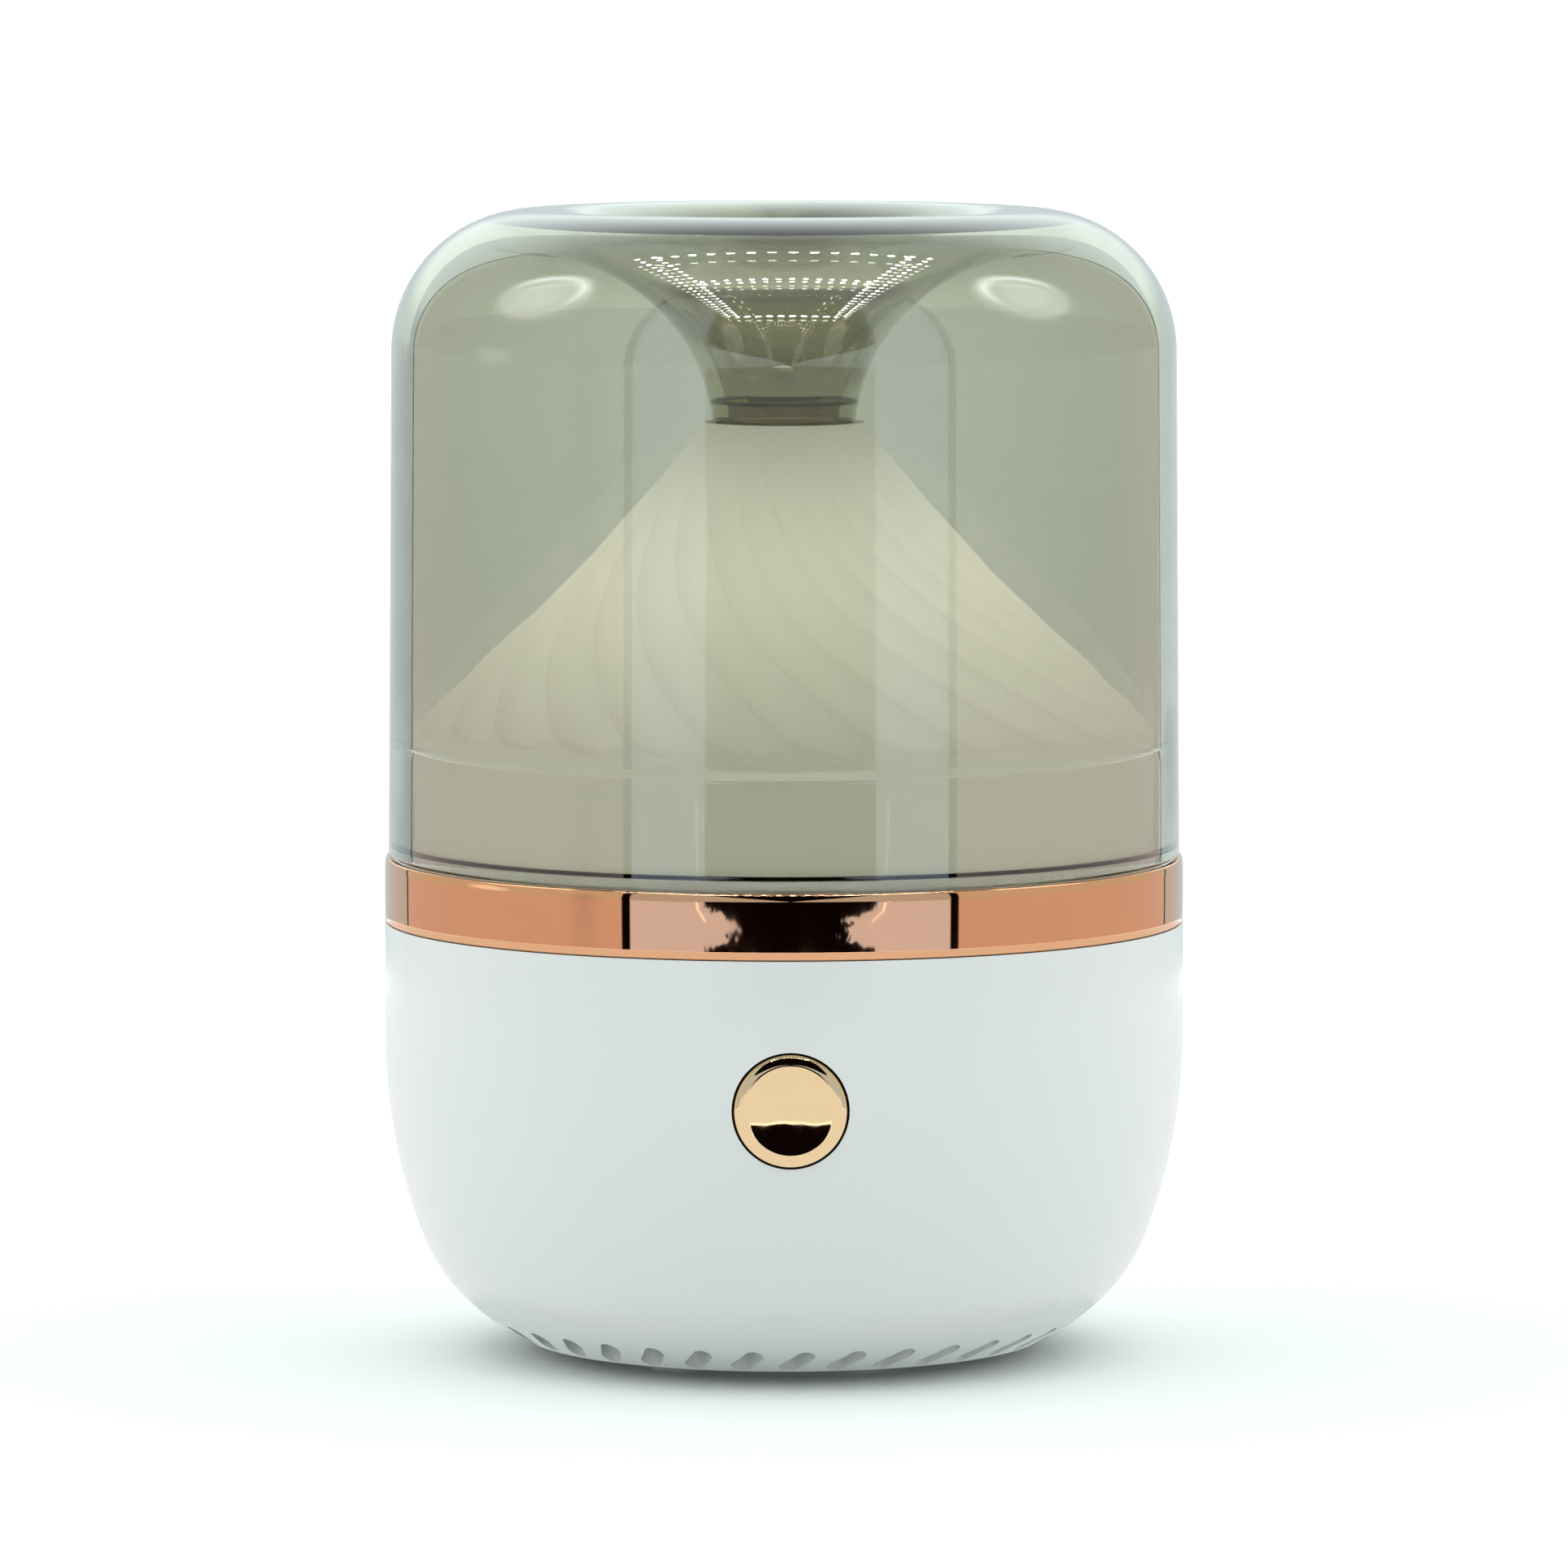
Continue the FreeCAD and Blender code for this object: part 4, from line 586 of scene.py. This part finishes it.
class Tent:
    """White light tent seen from inside, drawn on the world. Angles are in degrees, and the side counts from
    the front."""

    def __init__(self, graph):
        self.graph = g = graph
        split = g.tree.nodes.new("ShaderNodeSeparateXYZ")
        g.feed(split.inputs[0], g.tree.nodes.new("ShaderNodeTexCoord").outputs["Generated"])
        self.x, self.y, self.z = split.outputs
        degrees = 180 / math.pi
        self.azimuth = g.product(g.math("ARCTAN2", self.x, g.math("MULTIPLY", self.y, -1.0)), degrees)
        self.elevation = g.product(g.math("ARCSINE", self.z), degrees)
        self.side = g.math("ABSOLUTE", g.math("SUBTRACT", self.azimuth, 1.0))
        # place on a level ceiling, as a share of its height above
        lift = g.math("MAXIMUM", self.z, 0.05)
        self.plan_x, self.plan_y = g.math("DIVIDE", self.x, lift), g.math("DIVIDE", self.y, lift)
        self.path = g.tree.nodes.new("ShaderNodeLightPath").outputs

    def band(self, value, centre, half, soft):
        """1 within a half width of the centre, with soft edges."""
        away = self.graph.math("ABSOLUTE", self.graph.math("SUBTRACT", value, centre))
        return self.graph.ramp(away, half - soft / 2, half + soft / 2, 1.0, 0.0)

    def distance(self, first, second):
        g = self.graph
        return g.math("SQRT", g.total(g.product(first, first), g.product(second, second)))

    def panels(self):
        """Side, front, back and top panels, with dark bars where the front and back panels end."""
        g = self.graph
        higher = g.ramp(self.elevation, -5.0, -2.5)
        panel_side = g.mix(higher, (0.78, 0.64, 0.60, 1), (0.72, 0.69, 0.60, 1))
        panel_front = g.mix(higher, (0.82, 0.92, 1.14, 1), (0.58, 0.66, 0.72, 1))
        mirrored_back = g.mix(g.ramp(self.elevation, 4.0, 14.0), (0.62, 0.70, 0.72, 1), (1.1, 1.22, 1.2, 1))
        panel_back = g.mix(self.path["Is Transmission Ray"], mirrored_back, (1.16, 1.30, 1.17, 1))
        top = g.mix(g.ramp(self.plan_y, -2.2, -1.35), (0.92, 0.92, 0.88, 1), (0.45, 0.46, 0.42, 1))
        colour = g.mix(g.ramp(self.side, 46.0, 50.0), panel_front, panel_side)
        colour = g.mix(g.ramp(self.side, 139.0, 141.0), colour, panel_back)
        colour = g.mix(g.ramp(self.elevation, 30.0, 65.0), colour, top)
        for place, half, end, gone in ((47.8, 1.3, 45.0, 60.0), (141.0, 0.5, 40.0, 50.0)):
            ends = g.ramp(self.elevation, end, gone, 1.0, 0.0)
            bar = g.product(self.band(self.side, place, half, 0.5), ends)
            colour = g.mix(bar, colour, DARK)
        return colour

    def opening(self):
        """The dark opening in front: growing with height above the horizon, ragged and pinched low down."""
        g = self.graph
        squeezed = g.node("ShaderNodeCombineXYZ", X=self.x, Y=self.y, Z=g.product(self.z, 5.0))
        ragged = g.node("ShaderNodeTexNoise", Vector=squeezed, Scale=24.0, Detail=4.0, Roughness=0.65)
        pinch = g.ramp(g.math("ABSOLUTE", g.total(self.elevation, 6.1)), 0.4, 1.2, 8.5, 0.0)
        rag = g.product(g.math("SUBTRACT", ragged, 0.5), g.ramp(self.elevation, -5.2, -4.8, 16.0, 1.0))
        low = g.ramp(self.elevation, -1.2, 0.8, 24.5, 0.0)
        high = g.ramp(self.elevation, 0.0, 18.6, 0.3, 25.5)
        beyond = g.math("SUBTRACT", g.total(self.side, pinch, rag), g.math("MAXIMUM", low, high))
        return g.product(g.ramp(beyond, -0.5, 0.5, 1.0, 0.0), g.ramp(self.elevation, 46.0, 56.0, 1.0, 0.0))

    def lamps(self, colour):
        """Two lamps behind the cloth, each an oval with a bright upper rim."""
        g = self.graph
        for centre in (-95.0, 93.0):
            across = g.product(g.math("SUBTRACT", self.azimuth, centre), 1 / 17.0)
            up = g.product(g.math("SUBTRACT", self.elevation, 38.0), 1 / 15.0)
            reach = self.distance(across, up)
            rim = g.product(self.band(reach, 0.85, 0.08, 0.35), g.ramp(up, -0.3, 0.5, 0.15, 0.8))
            glow = g.total(g.product(g.ramp(reach, 0.3, 1.25, 1.0, 0.0), 0.32), rim)
            colour = g.mix(glow, colour, (5.5, 5.5, 5.5, 1))
        return colour

    def patches(self, colour):
        """A faint glow low on the left, and a faint shade beside it."""
        g = self.graph
        for centre, level, stretch, near, far, share, patch in (
                (-95.0, 2.0, 2.0, 4.0, 11.0, 0.6, (1.5, 1.5, 1.5, 1)),
                (-60.0, 0.0, 0.632, 0.0, 8.0, 0.35, (0.3, 0.22, 0.2, 1))):
            across = g.math("SUBTRACT", self.azimuth, centre)
            up = g.product(g.math("SUBTRACT", self.elevation, level), stretch)
            colour = g.mix(g.ramp(self.distance(across, up), near, far, share, 0.0), colour, patch)
        return colour

    def ceiling_lights(self, colour):
        """A frame of small lights on the ceiling, in rows of one or two."""
        g = self.graph

        def from_cell(value, pitch):
            """Distance from the middle of the nearest cell."""
            cell = g.math("SUBTRACT", g.math("FRACT", g.product(value, 1 / pitch)), 0.5)
            return g.product(g.math("ABSOLUTE", cell), pitch)

        def between(value, low, high):
            return g.product(g.math("GREATER_THAN", value, low), g.math("LESS_THAN", value, high))

        lights = 0.0
        for fixed, moving, place, low, high, pitch, size, rows, share in (
                (self.plan_y, self.plan_x, 0.20, -0.36, 0.36, 0.052, 0.010, 1, 1.0),
                (self.plan_y, self.plan_x, -0.33, -0.36, 0.36, 0.050, 0.009, 2, 0.8),
                (self.plan_y, self.plan_x, -1.18, -0.36, 0.36, 0.080, 0.022, 1, 0.4),
                (self.plan_x, self.plan_y, -0.38, -1.18, 0.25, 0.062, 0.0095, 2, 0.6),
                (self.plan_x, self.plan_y, 0.38, -1.18, 0.25, 0.062, 0.0095, 2, 0.6)):
            off, half = g.math("SUBTRACT", fixed, place), pitch * rows / 2
            inside = g.product(between(moving, low, high), g.math("GREATER_THAN", self.z, 0.1),
                               between(off, -half, half))
            away = self.distance(from_cell(g.total(off, half), pitch), from_cell(moving, pitch))
            lights = g.math("MAXIMUM", lights, g.product(g.ramp(away, size * 0.75, size * 1.25, 1.0, 0.0),
                                                         inside, share))
        return g.mix(lights, colour, (120.0, 120.0, 116.0, 1))

    def soft_light(self, opening, scattered):
        """The light the tent gives: stronger from both sides and from above, weaker from the opening.

        Light that reaches the guide passes the tinted dome, where most goes astray, so it starts stronger."""
        g = self.graph
        up = g.math("MAXIMUM", self.z, 0.0)
        front = g.math("MAXIMUM", g.math("MULTIPLY", self.y, -1.0), 0.0)
        light = g.total(0.62, g.product(self.x, self.x, 0.5), g.product(up, up, 0.72),
                        g.product(front, front, -0.2))
        light = g.product(light, g.total(1.0, g.product(opening, -0.85)),
                          g.ramp(self.elevation, 2.0, 40.0, 0.72, 1.34))
        into_dome = g.product(self.path["Is Transmission Ray"], scattered)
        inner = g.product(g.total(1.2, g.product(self.x, self.x, 0.7), g.product(up, -0.38)), GUIDE_LIGHT)
        light = g.total(g.product(light, g.math("SUBTRACT", 1.0, into_dome)), g.product(inner, into_dome))
        return g.node("ShaderNodeCombineColor", Red=g.product(light, 0.965), Green=light,
                      Blue=g.product(light, 0.985))

    def draw(self):
        """Mirror rays see the tent, scattered rays its soft light, and the camera plain white."""
        g = self.graph
        opening = self.opening()
        colour = self.patches(self.lamps(g.mix(opening, self.panels(), DARK)))
        colour = self.ceiling_lights(colour)
        scattered = g.math("GREATER_THAN", self.path["Diffuse Depth"], 0.5)
        mirrored = g.math("MAXIMUM", self.path["Is Glossy Ray"], self.path["Is Transmission Ray"])
        mirrored = g.product(mirrored, g.math("SUBTRACT", 1.0, scattered))
        colour = g.mix(mirrored, self.soft_light(opening, scattered), colour)
        colour = g.mix(self.path["Is Camera Ray"], colour, (1.0, 1.0, 1.0, 1))
        output = g.tree.nodes.new("ShaderNodeOutputWorld")
        g.feed(output.inputs[0], g.node("ShaderNodeBackground", Color=colour, Strength=1.0))


world = bpy.data.worlds.new("light_tent")
bpy.context.scene.world = world
world.use_nodes = True
Tent(Graph(world.node_tree)).draw()

# ---------------------------------------------------------------- the end

bpy.context.view_layer.update()
